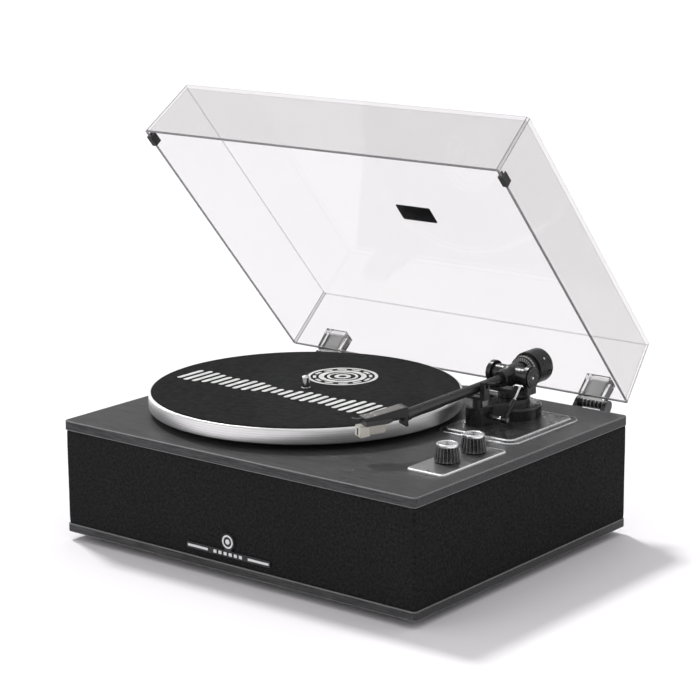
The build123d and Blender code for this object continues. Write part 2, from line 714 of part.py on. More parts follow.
# ---- Arm rest, lifter and cue lever -------------------------------------------------------------
cradle_half = 4.0
slot_floor = pivot_z - 8.9
clip_pivot_x = pivot_x + 9.0
clip_pivot_z = pivot_z + 3.5
with BuildPart() as arm_rest:
    disc_at(pivot_x, rest_y, base_top, slot_floor - 2, 4.0)
    with BuildSketch(Plane.XZ.offset(-rest_y - cradle_half)):
        with BuildLine():
            Polyline((pivot_x - 9, slot_floor - 2.4), (pivot_x + 11, slot_floor - 2.4), (pivot_x + 11, clip_pivot_z + 2),
                     (pivot_x + 6, clip_pivot_z + 2), (pivot_x + 6, slot_floor), (pivot_x - 6, slot_floor),
                     (pivot_x - 6, slot_floor + 2.1), (pivot_x - 9, slot_floor + 2.1), close=True)
        make_face()
    extrude(amount=2 * cradle_half)
    with BuildSketch(Plane.XZ.offset(-rest_y - 1.8)):
        with Locations((clip_pivot_x, clip_pivot_z)):
            Rectangle(8, 8)
    extrude(amount=3.6, mode=Mode.SUBTRACT)
    with BuildSketch(Plane.XZ.offset(-rest_y - cradle_half)):
        with Locations((clip_pivot_x - 0.5, clip_pivot_z)):
            Circle(0.9)
    extrude(amount=2 * cradle_half)
save(arm_rest.part, "arm_rest")

clip_rise = math.radians(15)
clip_plane = Plane(origin=(clip_pivot_x - 0.5, rest_y + 1.5, clip_pivot_z),
                   x_dir=(math.cos(clip_rise), 0, math.sin(clip_rise)), z_dir=(0, -1, 0))
with BuildPart() as arm_clip:
    with BuildSketch(clip_plane):
        Circle(2.2)
        with BuildLine():
            Polyline((0, 0.9), (0, -0.9), (13, -2.1), (16, -0.7), (15.4, 0.9), (12.6, -0.3), close=True)
        make_face()
        Circle(0.9 + running_gap, mode=Mode.SUBTRACT)
    extrude(amount=3.0)
save(arm_clip.part, "arm_clip")

lifter_top = pivot_z - 5.8 - lifter_lift
with BuildPart() as lifter_bar:
    with BuildSketch(Plane.XY.offset(lifter_top - 2.4)):
        with BuildLine():
            outer_arc = CenterArc((pivot_x, pivot_y), lifter_arc_radius + 2.5, -140, 62)
            inner_arc = CenterArc((pivot_x, pivot_y), lifter_arc_radius - 2.5, -140, 62)
            Line(outer_arc @ 0, inner_arc @ 0)
            Line(outer_arc @ 1, inner_arc @ 1)
        make_face()
    extrude(amount=2.4)
    disc_at(lifter_rod_x, lifter_rod_y, base_top - 8, lifter_top - 2.4, 2.0)
save(lifter_bar.part, "lifter_bar")

lever_hub = Vector(141.0, lever_y, lever_z)
lever_tip = Vector(147.5, 70.5, deck + 39.0)
lever_line = Plane(origin=lever_hub, z_dir=(lever_tip - lever_hub).normalized())
lever_length = (lever_tip - lever_hub).length
with BuildPart() as cue_lever:
    with BuildSketch(Plane.YZ.offset(119)):
        with Locations((lever_y, lever_z)):
            Circle(2.0)
    extrude(amount=20)
    with BuildSketch(Plane.YZ.offset(138)):
        with Locations((lever_y, lever_z)):
            Circle(3.4)
    extrude(amount=5.5)
    with BuildSketch(lever_line):
        Circle(1.0)
    extrude(amount=lever_length)
    with BuildSketch(lever_line):
        Circle(1.7)
    extrude(amount=lever_length * 0.62)
save(cue_lever.part, "cue_lever")

# ---- Hinges -------------------------------------------------------------------------------------
with BuildPart() as hinge_bases:
    for side in (-1, 1):
        centre = side * hinge_x
        for cheek in (-1, 1):
            cheek_low = centre + min(cheek * 13.3, cheek * 17.5)
            with BuildSketch(Plane.YZ.offset(cheek_low)):
                with Locations((hinge_axis_y, hinge_axis_z)):
                    Circle(5.2)
                with Locations((half_depth + 1.5, deck - 10)):
                    Rectangle(3, 16)
                make_hull()
            extrude(amount=4.2)
        box_between(centre - 17.5, centre + 17.5, half_depth, half_depth + 3, deck - 34, deck - 2)
        with BuildSketch(Plane.YZ.offset(centre - 17.5)):
            with Locations((hinge_axis_y, hinge_axis_z)):
                Circle(2.0)
        extrude(amount=35)
save(hinge_bases.part, "hinge_bases")

# ---- Dust cover, built in its own tilted frame: +x right, +y to the rear edge, +z away from the plinth -----------
tilt = math.radians(cover_angle)
cover_up = Vector(0, math.sin(tilt), math.cos(tilt))
cover_rear = Vector(0, math.cos(tilt), -math.sin(tilt))
rim_origin = Vector(0, hinge_axis_y, hinge_axis_z) - cover_rear * hinge_back - cover_up * hinge_up
cover = Plane(origin=rim_origin, x_dir=(1, 0, 0), z_dir=cover_up)
lid_width = cover_width - 2 * draft_side
lid_length = cover_length - draft_front - draft_rear
lid_centre = -draft_rear - lid_length / 2


def cover_profile(x):
    """The cover's side plane at x: its own x runs to the rear, its y runs up."""
    return Plane(origin=rim_origin + Vector(x, 0, 0), x_dir=cover_rear, z_dir=(1, 0, 0))


with BuildPart() as dust_cover:
    with BuildSketch(cover):
        with Locations((0, -cover_length / 2)):
            RectangleRounded(cover_width, cover_length, cover_corner_radius)
    with BuildSketch(cover.offset(cover_height)):
        with Locations((0, lid_centre)):
            RectangleRounded(lid_width, lid_length, cover_corner_radius)
    loft()
    rim_face = dust_cover.faces().filter_by(lambda f: abs(f.normal_at().dot(cover_up)) > 0.999)
    rim_face = rim_face.sort_by(lambda f: (f.center() - rim_origin).dot(cover_up))[0]
    offset(amount=-cover_wall, openings=rim_face)
save(dust_cover.part, "dust_cover")

label_y = -164.0
with BuildPart() as cover_label:
    with BuildSketch(cover.offset(cover_height)):
        with Locations((0, label_y)):
            RectangleRounded(40, 21, 1.5)
    extrude(amount=0.6)
save(cover_label.part, "cover_label")

bumper_y = -313.5
bumper_length = 12.0
side_slope = draft_side / cover_height


def wall_point(side, inset, height):
    """A point measured inwards from one side wall's outer face, in a plane across the cover."""
    return (side * (cover_width / 2 - inset - side_slope * height), height)


with BuildPart() as cover_bumpers:
    for side in (-1, 1):
        face = Plane(origin=cover.from_local_coords((0, bumper_y - bumper_length / 2, 0)), x_dir=(1, 0, 0),
                     z_dir=-cover_rear)
        with BuildSketch(face):
            with BuildLine():
                Polyline(wall_point(side, -0.02, 6), wall_point(side, -1.3, 6), wall_point(side, -1.3, -1.5),
                         wall_point(side, 4.0, -1.5), wall_point(side, 4.0, 6),
                         wall_point(side, cover_wall + 0.06, 6), wall_point(side, cover_wall + 0.06, -0.02),
                         wall_point(side, -0.02, -0.02), close=True)
            make_face()
        extrude(amount=-bumper_length)
save(cover_bumpers.part, "cover_bumpers")

rear_slope = draft_rear / cover_height
with BuildPart() as hinge_sockets:
    for side in (-1, 1):
        with BuildSketch(cover_profile(side * hinge_x - 13)):
            with BuildLine():
                Polyline((-rear_slope + 0.02, 1), (-rear_slope * 24 + 0.02, 24), (12, 24), (12, 6.6), (6.3, 6.6),
                         (6.3, 1), close=True)
            make_face()
        extrude(amount=26)
        with BuildSketch(cover_profile(side * hinge_x - 8.3)):
            with BuildLine():
                Polyline((6.7, 5), (6.7, 21.6), (10.3, 21.6), (10.3, 5), close=True)
            make_face()
        extrude(amount=16.6, mode=Mode.SUBTRACT)
save(hinge_sockets.part, "hinge_sockets")

with BuildPart() as hinge_leaves:
    for side in (-1, 1):
        with BuildSketch(cover_profile(side * hinge_x - 12.8)):
            with Locations((hinge_back, hinge_up)):
                Circle(4.8)
        extrude(amount=25.6)
        with BuildSketch(cover_profile(side * hinge_x - 8)):
            with BuildLine():
                Polyline((7, hinge_up), (10, hinge_up), (10, 21.4), (7, 21.4), close=True)
            make_face()
        extrude(amount=16)
        with BuildSketch(cover_profile(side * hinge_x - 12.8)):
            with Locations((hinge_back, hinge_up)):
                Circle(2.0 + running_gap)
        extrude(amount=25.6, mode=Mode.SUBTRACT)
save(hinge_leaves.part, "hinge_leaves")
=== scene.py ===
"""Looks for the belt-drive record player: materials, detailed pieces, studio and camera.

Metres, in the model's frame: +Z up, the front faces -Y, the tonearm is on +X.
"""
import json
import math

import bmesh
import bpy
from mathutils import Matrix, Vector, noise


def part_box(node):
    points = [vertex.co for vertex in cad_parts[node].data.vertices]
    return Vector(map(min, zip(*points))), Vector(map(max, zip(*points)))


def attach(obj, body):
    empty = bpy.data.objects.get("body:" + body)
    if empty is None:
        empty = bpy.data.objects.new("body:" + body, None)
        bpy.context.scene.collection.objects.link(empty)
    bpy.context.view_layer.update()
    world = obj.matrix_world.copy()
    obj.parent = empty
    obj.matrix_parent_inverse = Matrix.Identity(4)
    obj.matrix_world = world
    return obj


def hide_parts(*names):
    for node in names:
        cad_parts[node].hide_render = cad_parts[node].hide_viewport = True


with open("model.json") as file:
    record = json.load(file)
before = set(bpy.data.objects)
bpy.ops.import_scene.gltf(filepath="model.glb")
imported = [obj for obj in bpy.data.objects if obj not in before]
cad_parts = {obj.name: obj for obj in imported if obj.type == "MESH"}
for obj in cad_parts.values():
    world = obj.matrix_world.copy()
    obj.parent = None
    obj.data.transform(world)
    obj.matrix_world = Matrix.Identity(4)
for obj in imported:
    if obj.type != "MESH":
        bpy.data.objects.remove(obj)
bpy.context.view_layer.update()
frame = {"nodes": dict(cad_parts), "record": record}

scene = bpy.context.scene
MM = 0.001
TURN = 2 * math.pi
BEVEL_SAMPLES = 4
FLAT_COSINE = 0.998


# ---- Shader helpers -------------------------------------------------------------------------------------
class Shader:
    """A node material around one Principled shader, with its patterns in object coordinates."""

    def __init__(self, name, colour, roughness, metallic=0.0, **sockets):
        self.material = bpy.data.materials.new(name)
        self.material.use_nodes = True
        self.tree = self.material.node_tree
        self.shader = self.tree.nodes["Principled BSDF"]
        self.shader.inputs["Base Color"].default_value = (*colour, 1)
        self.shader.inputs["Roughness"].default_value = roughness
        self.shader.inputs["Metallic"].default_value = metallic
        for socket, value in sockets.items():
            self.shader.inputs[socket.replace("_", " ")].default_value = value
        self.coords = self.node("ShaderNodeTexCoord").outputs["Object"]
        self.normal = None

    def node(self, kind, **settings):
        made = self.tree.nodes.new(kind)
        for key, value in settings.items():
            setattr(made, key, value)
        return made

    def link(self, source, target):
        self.tree.links.new(source, target)

    def stretched(self, scale):
        mapping = self.node("ShaderNodeMapping")
        mapping.inputs["Scale"].default_value = scale
        self.link(self.coords, mapping.inputs["Vector"])
        return mapping.outputs["Vector"]

    def noise(self, scale, detail=3.0, roughness=0.55, coords=None):
        texture = self.node("ShaderNodeTexNoise")
        texture.inputs["Scale"].default_value = scale
        texture.inputs["Detail"].default_value = detail
        texture.inputs["Roughness"].default_value = roughness
        self.link(coords or self.coords, texture.inputs["Vector"])
        return texture.outputs["Fac"]

    def cell_borders(self, scale, coords):
        """Distance to the border of irregular cells, such as the gaps between printed tracks."""
        texture = self.node("ShaderNodeTexVoronoi", feature="DISTANCE_TO_EDGE")
        texture.inputs["Scale"].default_value = scale
        self.link(coords, texture.inputs["Vector"])
        return texture.outputs["Distance"]

    def math(self, operation, a, b=0.0):
        made = self.node("ShaderNodeMath", operation=operation)
        for socket, value in zip(made.inputs, (a, b)):
            if isinstance(value, (int, float)):
                socket.default_value = value
            else:
                self.link(value, socket)
        return made.outputs[0]

    def dot(self, first, second):
        made = self.node("ShaderNodeVectorMath", operation="DOT_PRODUCT")
        for socket, value in zip(made.inputs, (first, second)):
            if isinstance(value, tuple):
                socket.default_value = value
            else:
                self.link(value, socket)
        return made.outputs["Value"]

    def blend(self, first, first_share, second, second_share):
        return self.math("ADD", self.math("MULTIPLY", first, first_share),
                         self.math("MULTIPLY", second, second_share))

    def split(self):
        made = self.node("ShaderNodeSeparateXYZ")
        self.link(self.coords, made.inputs[0])
        return made.outputs

    def wave(self, value, period):
        return self.math("SINE", self.math("MULTIPLY", value, TURN / period))

    def around(self, operation, count):
        """A sine or cosine that repeats count times around the object's own z axis."""
        parts = self.split()
        angle = self.math("ARCTAN2", parts["Y"], parts["X"])
        return self.math(operation, self.math("MULTIPLY", angle, count))

    def ramp(self, value, low, high, out_low=0.0, out_high=1.0):
        made = self.node("ShaderNodeMapRange")
        for key, number in (("From Min", low), ("From Max", high), ("To Min", out_low), ("To Max", out_high)):
            made.inputs[key].default_value = number
        self.link(value, made.inputs["Value"])
        return made.outputs["Result"]

    def mix(self, factor, first, second):
        made = self.node("ShaderNodeMix", data_type="RGBA")
        self.link(factor, made.inputs["Factor"])
        for socket, value in ((made.inputs["A"], first), (made.inputs["B"], second)):
            if isinstance(value, tuple):
                socket.default_value = (*value, 1)
            else:
                self.link(value, socket)
        return made.outputs["Result"]

    def bevel_normal(self, radius):
        bevel = self.node("ShaderNodeBevel", samples=BEVEL_SAMPLES)
        bevel.inputs["Radius"].default_value = radius
        return bevel.outputs["Normal"]

    def edge_mask(self, radius, full=0.90):
        """0 on flats, 1 on edges: where the cosine from rounded normal to face normal falls to full."""
        geometry = self.node("ShaderNodeNewGeometry")
        turned_by = self.dot(self.bevel_normal(radius), geometry.outputs["Normal"])
        return self.ramp(turned_by, FLAT_COSINE, full)

    def radial_tangent(self):
        tangent = self.node("ShaderNodeTangent", direction_type="RADIAL", axis="Z")
        self.link(tangent.outputs["Tangent"], self.shader.inputs["Tangent"])

    def rounded(self, radius):
        """Catches light along edges as if they were rounded by radius."""
        self.normal = self.bevel_normal(radius)
        self.link(self.normal, self.shader.inputs["Normal"])

    def bump(self, height, distance, strength):
        """The last step of a material: gives its surface relief and returns it."""
        made = self.node("ShaderNodeBump")
        made.inputs["Distance"].default_value = distance
        made.inputs["Strength"].default_value = strength
        self.link(height, made.inputs["Height"])
        if self.normal is not None:
            self.link(self.normal, made.inputs["Normal"])
        self.link(made.outputs["Normal"], self.shader.inputs["Normal"])
        return self.material

    def colour(self, source):
        self.link(source, self.shader.inputs["Base Color"])

    def roughness(self, source):
        self.link(source, self.shader.inputs["Roughness"])


def lighter(colour, factor, offset):
    return tuple(min(1.0, c * factor + offset) for c in colour)


# ---- Materials ------------------------------------------------------------------------------------------
def lacquered_board():
    """Charcoal foil on board: faint long grain, satin, with a painted highlight along its edges."""
    grain_dark, grain_light, wear_and_edge_highlight = (0.02, 0.02, 0.021), (0.09, 0.09, 0.092), (0.36, 0.36, 0.365)
    grain_stretch, highlight_and_wear_width, highlight_and_wear_share = (0.5, 9, 9), 1.1 * MM, 0.85
    s = Shader("board_charcoal", (0.05, 0.05, 0.051), 0.45, Specular_IOR_Level=0.1)
    grain = s.noise(90, 6, 0.75, s.stretched(grain_stretch))
    mottle = s.noise(9, 3)
    base = s.mix(s.ramp(grain, 0.3, 0.7), grain_dark, grain_light)
    # painted highlight: the colour is mixed towards a light grey along the edges
    s.colour(s.mix(s.math("MULTIPLY", s.edge_mask(highlight_and_wear_width, 0.97), highlight_and_wear_share), base, wear_and_edge_highlight))
    s.roughness(s.ramp(s.blend(grain, 0.5, mottle, 0.5), 0.3, 0.7, 0.36, 0.5))
    s.rounded(0.4 * MM)
    return s.bump(grain, 0.02 * MM, 0.35)


def bare_fibreboard():
    dark, light = (0.26, 0.18, 0.11), (0.42, 0.31, 0.2)
    s = Shader("fibreboard", (0.35, 0.25, 0.16), 0.85)
    fibres = s.noise(420, 6, 0.7)
    s.colour(s.mix(s.ramp(fibres, 0.3, 0.75), dark, light))
    return s.bump(fibres, 0.08 * MM, 0.6)


def grille_weave():
    """Plain-woven grille cloth: threads over and under, with uneven yarn and slow tone changes."""
    thread_pitch = 0.75 * MM
    shadow, yarn, faded = (0.001, 0.001, 0.001), (0.048, 0.048, 0.0495), (0.013, 0.013, 0.0135)
    s = Shader("grille_weave", (0.01, 0.01, 0.0105), 0.9, Specular_IOR_Level=0.08)
    parts = s.split()
    across = s.wave(s.math("ADD", parts["X"], parts["Y"]), thread_pitch)
    weave = s.math("MULTIPLY", across, s.wave(parts["Z"], thread_pitch))
    slub = s.noise(400, 5, 0.8)
    cloud = s.noise(14, 3, 0.6, s.stretched((1, 1, 0.35)))
    tone = s.blend(s.ramp(weave, -1, 1), 0.3, slub, 0.7)
    shade = s.mix(s.ramp(tone, 0.36, 0.66), shadow, yarn)
    s.colour(s.mix(s.ramp(cloud, 0.35, 0.7, 0, 0.22), shade, faded))
    return s.bump(s.blend(weave, 0.5, slub, 0.9), 0.5 * MM, 0.9)


def pressed_felt():
    """Black felt: matted fibres about a millimetre apart, clumps at a few millimetres."""
    dark, light = (0.001, 0.001, 0.0011), (0.024, 0.024, 0.025)
    s = Shader("mat_felt", light, 0.95, Sheen_Weight=0.01, Sheen_Roughness=0.6, Specular_IOR_Level=0.05)
    fibres = s.noise(900, 6, 0.75)
    clumps = s.noise(170, 4, 0.6)
    tone = s.blend(fibres, 0.6, clumps, 0.4)
    s.colour(s.mix(s.ramp(tone, 0.34, 0.66), dark, light))
    return s.bump(tone, 0.35 * MM, 0.7)


def moulded(name, colour, roughness, grain=0.25, cloudiness=0.22, **sockets):
    """Moulded plastic: fine spark-eroded texture, slight haze, rounded edges a little lighter, partly rubbed
    and partly a painted highlight.
    """
    rubbed_highlight_width, rubbed_highlight_share, smoothest = 0.35 * MM, 0.35, 0.02
    s = Shader(name, colour, roughness, **sockets)
    texture = s.noise(900, 4, 0.6)
    haze = s.noise(60, 3)
    rubbed_and_highlight = lighter(colour, 2.2, 0.03)
    base = s.mix(s.ramp(haze, 0.3, 0.75, 0.0, cloudiness), colour, rubbed_and_highlight)
    # edges lightened: partly rubbed wear, partly a painted highlight
    s.colour(s.mix(s.math("MULTIPLY", s.edge_mask(rubbed_highlight_width), rubbed_highlight_share), base, rubbed_and_highlight))
    spread = 0.3 * cloudiness
    s.roughness(s.ramp(haze, 0.3, 0.7, max(smoothest, roughness - spread), roughness + spread))
    s.rounded(0.25 * MM)
    return s.bump(texture, 0.02 * MM, grain)


def coated_metal(name, colour, roughness, **sockets):
    """Satin paint over metal: orange-peel ripple, edges lighter, partly worn towards bare metal and partly a
    painted highlight.
    """
    highlight_and_wear_width, highlight_and_wear_share = 0.4 * MM, 0.5
    s = Shader(name, colour, roughness, **sockets)
    peel = s.noise(700, 2)
    haze = s.noise(80, 3)
    wear_and_edge_highlight = lighter(colour, 3, 0.05)
    # edges lightened: partly wear, partly a painted highlight
    s.colour(s.mix(s.math("MULTIPLY", s.edge_mask(highlight_and_wear_width), highlight_and_wear_share), colour, wear_and_edge_highlight))
    s.roughness(s.ramp(haze, 0.3, 0.7, roughness - 0.05, roughness + 0.08))
    s.rounded(0.3 * MM)
    return s.bump(peel, 0.01 * MM, 0.3)


def brushed(name, colour, roughness, stretch):
    """Brushed metal: hairlines along the axis with the small stretch, uneven in tone and gloss."""
    s = Shader(name, colour, roughness, 1.0)
    lines = s.noise(900, 4, 0.7, s.stretched(stretch))
    cloud = s.noise(25, 2)
    s.colour(s.mix(s.ramp(lines, 0.3, 0.7), lighter(colour, 0.8, 0), colour))
    s.roughness(s.ramp(s.blend(lines, 1.0, cloud, 0.6), 0.5, 1.1, roughness - 0.06, roughness + 0.08))
    s.rounded(0.2 * MM)
    return s.bump(lines, 0.01 * MM, 0.25)


def turned(name, colour, roughness, anisotropy, lines_per_metre):
    """Metal turned about its own z axis: fine rings, radial highlight."""
    s = Shader(name, colour, roughness, 1.0, Anisotropic=anisotropy)
    parts = s.split()
    radius = s.math("SQRT", s.math("ADD", s.math("POWER", parts["X"], 2), s.math("POWER", parts["Y"], 2)))
    rings = s.wave(s.blend(radius, 1.0, parts["Z"], 0.9), 1 / lines_per_metre)
    smear = s.noise(30, 3)
    s.colour(s.mix(s.ramp(rings, -1, 1), lighter(colour, 0.88, 0), colour))
    s.roughness(s.ramp(smear, 0.3, 0.7, max(0.03, roughness - 0.04), roughness + 0.05))
    s.radial_tangent()
    return s.bump(rings, 0.002 * MM, 0.4)


def clear_plastic(name, tint, index, coat, edge_shade, edge_clarity, edge_width, flats=(), rim_height=0.0):
    """Clear plastic that lets lamps through. Its edges are painted greyer as a painted shade for what
    refraction does there, and pass only edge_clarity of the light.

    flats are the directions its walls face: a line of painted shade also runs where a corner turns away from
    all of them, and along the open rim, which lies at rim_height in the second direction.
    """
    lamp_tint = (0.975, 0.975, 0.975)
    s = Shader(name, tint, 0.0, Transmission_Weight=1.0, IOR=index, Coat_Weight=coat, Coat_Roughness=0.02)
    haze = s.noise(11, 4, 0.6)
    if not coat:
        s.roughness(s.ramp(haze, 0.4, 0.8, 0.0, 0.02))
    clouded = s.mix(s.ramp(haze, 0.4, 0.8), tint, lighter(tint, 0.985, 0))
    edges = s.edge_mask(edge_width)
    if flats:
        normal = s.node("ShaderNodeTexCoord").outputs["Normal"]
        facing = 0.0
        for direction in flats:
            facing = s.math("MAXIMUM", s.math("ABSOLUTE", s.dot(normal, direction)), facing)
        turned_off = s.math("MULTIPLY", s.ramp(facing, 0.985, 0.96), s.ramp(facing, 0.86, 0.90))
        rim = s.ramp(s.dot(s.coords, flats[1]), rim_height + 0.9 * MM, rim_height + 0.3 * MM)
        edges = s.math("MAXIMUM", s.math("MAXIMUM", edges, turned_off), rim)
    # painted shade: edges, turned corners and the rim are mixed towards the edge shade colour
    s.colour(s.mix(edges, clouded, edge_shade))
    s.link(s.ramp(edges, 0.0, 1.0, 1.0, edge_clarity), s.shader.inputs["Transmission Weight"])
    lamp = s.node("ShaderNodeBsdfTransparent")
    lamp.inputs["Color"].default_value = (*lamp_tint, 1)
    path = s.node("ShaderNodeLightPath")
    mixed = s.node("ShaderNodeMixShader")
    s.link(path.outputs["Is Shadow Ray"], mixed.inputs[0])
    s.link(s.shader.outputs["BSDF"], mixed.inputs[1])
    s.link(lamp.outputs["BSDF"], mixed.inputs[2])
    s.link(mixed.outputs["Shader"], s.tree.nodes["Material Output"].inputs["Surface"])
    return s.material


def fluted_gloss(count):
    """Gloss black with flutes around its own z axis: ridges painted light as a highlight, grooves left black.
    """
    groove_black, ridge_highlight = (0.003, 0.003, 0.0032), (0.17, 0.17, 0.172)
    s = Shader("knob_gloss", (0.004, 0.004, 0.0043), 0.24, Specular_IOR_Level=0.6)
    ridge = s.around("COSINE", count)
    patchy_noise = s.noise(500, 4, 0.65)
    # painted highlight on the ridges, broken up by noise
    s.colour(s.mix(s.ramp(s.blend(ridge, 1.0, patchy_noise, 0.5), 0.75, 1.35), groove_black, ridge_highlight))
    s.roughness(s.ramp(patchy_noise, 0.3, 0.7, 0.2, 0.3))
    return s.bump(patchy_noise, 0.02 * MM, 0.1)


def marked_ring():
    """Light grey ring with 30 dark divisions around its own z axis."""
    light, dark = (0.34, 0.34, 0.335), (0.02, 0.02, 0.02)
    s = Shader("dial_print", (0.4, 0.4, 0.4), 0.45)
    print_wear = s.noise(600, 4, 0.6)
    division = s.blend(s.around("SINE", 30), 1.0, print_wear, 0.3)
    s.colour(s.mix(s.ramp(division, 0.55, 0.75), light, dark))
    return s.bump(print_wear, 0.02 * MM, 0.3)


def printed_ink():
    """Screen-printed ink over felt: the pile breaks its surface a little."""
    broken, solid = (0.42, 0.42, 0.42), (0.78, 0.78, 0.77)
    s = Shader("printed_ink", (0.62, 0.62, 0.61), 0.7)
    pile = s.noise(1300, 5, 0.75)
    wear_and_edge_highlight = s.noise(120, 4, 0.6)
    s.colour(s.mix(s.ramp(s.blend(pile, 0.6, wear_and_edge_highlight, 0.4), 0.38, 0.6), broken, solid))
    return s.bump(pile, 0.2 * MM, 0.5)


def dusty(name, colour, roughness):
    """Rubber or pulp with a little dust caught in its surface."""
    s = Shader(name, colour, roughness)
    dust = s.noise(500, 5, 0.7)
    s.colour(s.mix(s.ramp(dust, 0.45, 0.8), colour, lighter(colour, 2.2, 0.01)))
    s.rounded(0.3 * MM)
    return s.bump(dust, 0.03 * MM, 0.5)


def solder_mask():
    copper_side, mask_side = (0.05, 0.2, 0.08), (0.015, 0.08, 0.03)
    s = Shader("solder_mask", (0.02, 0.1, 0.04), 0.35)
    tracks = s.cell_borders(220, s.stretched((1, 1, 0.1)))
    s.colour(s.mix(s.ramp(tracks, 0.02, 0.06), copper_side, mask_side))
    return s.bump(tracks, 0.03 * MM, 0.4)


joints = {joint["name"]: joint for joint in frame["record"]["behaviour"]["joints"]}
hinge_axis = Vector(joints["cover_hinge"]["pos_m"])
COVER_TILT = math.radians(48.9)
RIM_BELOW_AXIS = 0.4 * MM
COVER_RIM = hinge_axis.y * math.sin(COVER_TILT) + hinge_axis.z * math.cos(COVER_TILT) - RIM_BELOW_AXIS
COVER_UP = (0, math.sin(COVER_TILT), math.cos(COVER_TILT))
COVER_REAR = (0, math.cos(COVER_TILT), -math.sin(COVER_TILT))
COVER_FLATS = ((1, 0, 0), COVER_UP, COVER_REAR)
ALONG_X, ALONG_Y, ALONG_Z, EVERY_WAY = (0.04, 1, 1), (1, 0.05, 1), (1, 1, 0.1), (1, 1, 1)
satin_black = coated_metal("black_metal", (0.011, 0.011, 0.0115), 0.3, Specular_IOR_Level=0.4)
chrome = brushed("chrome", (0.82, 0.82, 0.83), 0.1, ALONG_Z)
gloss_black = moulded("gloss_black", (0.008, 0.008, 0.0085), 0.18, 0.1, Specular_IOR_Level=0.5)
black_plastic = moulded("black_plastic", (0.01, 0.01, 0.0105), 0.36, Specular_IOR_Level=0.35)
materials = {
    "board": lacquered_board(),
    "raw_board": bare_fibreboard(),
    "grille_cloth": grille_weave(),
    "black_plastic": black_plastic,
    "gloss_black": gloss_black,
    "dark_plate": moulded("dark_plate", (0.03, 0.03, 0.031), 0.28, 0.08, 0.06, Specular_IOR_Level=0.35),
    # the cover's edges take a grey painted shade, (0.2, 0.2, 0.205)
    "clear_acrylic": clear_plastic("clear_acrylic", (0.83, 0.828, 0.822), 1.002, 0.35, (0.2, 0.2, 0.205),
                                   0.25, 0.9 * MM, COVER_FLATS, COVER_RIM),
    "mat_felt": pressed_felt(),
    "aluminium": brushed("aluminium", (0.5, 0.5, 0.505), 0.3, ALONG_X),
    "steel": brushed("steel", (0.55, 0.55, 0.56), 0.28, ALONG_Y),
    "chrome": chrome,
    "brass": brushed("brass", (0.72, 0.52, 0.22), 0.25, ALONG_Z),
    "black_metal": satin_black,
    "rubber": dusty("rubber", (0.012, 0.012, 0.012), 0.75),
    "beige_plastic": moulded("beige_plastic", (0.42, 0.4, 0.36), 0.42, 0.2),
    "circuit_board": solder_mask(),
    "paper_cone": dusty("paper_cone", (0.02, 0.02, 0.02), 0.9),
    "silver_print": brushed("silver_print", (0.72, 0.72, 0.73), 0.3, (0.05, 1, 1)),
}
# the socket's edges take a near-black painted shade
socket_clear = clear_plastic("socket_clear", (0.93, 0.93, 0.93), 1.49, 0.0, (0.04, 0.04, 0.042), 0.15,
                             0.75 * MM)
trim_bright = brushed("trim_bright", (0.82, 0.82, 0.83), 0.27, EVERY_WAY)
bevel_bright = brushed("bevel_bright", (0.96, 0.96, 0.96), 0.5, EVERY_WAY)
bright_turned = turned("bright_turned", (0.84, 0.84, 0.85), 0.24, 0.85, 1500)


def paint(obj, material):
    """Leaves this material as the piece's only one."""
    obj.data.materials.clear()
    obj.data.materials.append(material)


special = {
    "left_panel": materials["board"], "right_panel": materials["board"], "rear_panel": materials["board"],
    "counterweight_sleeve": satin_black, "hinge_sockets": socket_clear,
    "hinge_leaves": moulded("leaf_grey", (0.14, 0.14, 0.142), 0.35),
}
slot_of = {part["node"]: part["material_slot"] for part in frame["record"]["subparts"]}
for name, obj in frame["nodes"].items():
    paint(obj, special[name] if name in special else materials[slot_of[name]])


# ---- Mesh helpers ---------------------------------------------------------------------------------------
def finish_piece(obj, body, material, stands_for=(), smooth_angle=35):
    """Gives a new piece its material and body, and hides the nodes it stands for."""
    paint(obj, material)
    if smooth_angle:
        obj.data.polygons.foreach_set("use_smooth", [True] * len(obj.data.polygons))
        obj.data.set_sharp_from_angle(angle=math.radians(smooth_angle))
    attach(obj, body)
    if stands_for:
        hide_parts(*stands_for)


def mesh_piece(name, vertices, faces, matrix=None):
    mesh = bpy.data.meshes.new(name)
    mesh.from_pydata([tuple(v) for v in vertices], [], faces)
    mesh.validate()
    obj = bpy.data.objects.new(name, mesh)
    scene.collection.objects.link(obj)
    if matrix is not None:
        obj.matrix_world = matrix
    return obj


def cleaned_piece(name, vertices, faces, matrix=None):
    """A new piece with doubled points merged and its faces turned outwards."""
    merge_distance, shortest_edge = 1e-6, 1e-7
    obj = mesh_piece(name, vertices, faces, matrix)
    mesh = bmesh.new()
    mesh.from_mesh(obj.data)
    bmesh.ops.remove_doubles(mesh, verts=mesh.verts, dist=merge_distance)
    bmesh.ops.dissolve_degenerate(mesh, edges=mesh.edges, dist=shortest_edge)
    bmesh.ops.recalc_face_normals(mesh, faces=mesh.faces)
    mesh.to_mesh(obj.data)
    mesh.free()
    return obj


def axis_frame(origin, z_axis, x_hint=(1, 0, 0)):
    z = Vector(z_axis).normalized()
    y = z.cross(Vector(x_hint)).normalized()
    x = y.cross(z)
    return Matrix.Translation(Vector(origin)) @ Matrix((x, y, z)).transposed().to_4x4()


def upright_at(x, y, z=0.0):
    return Matrix.Translation((x, y, z))


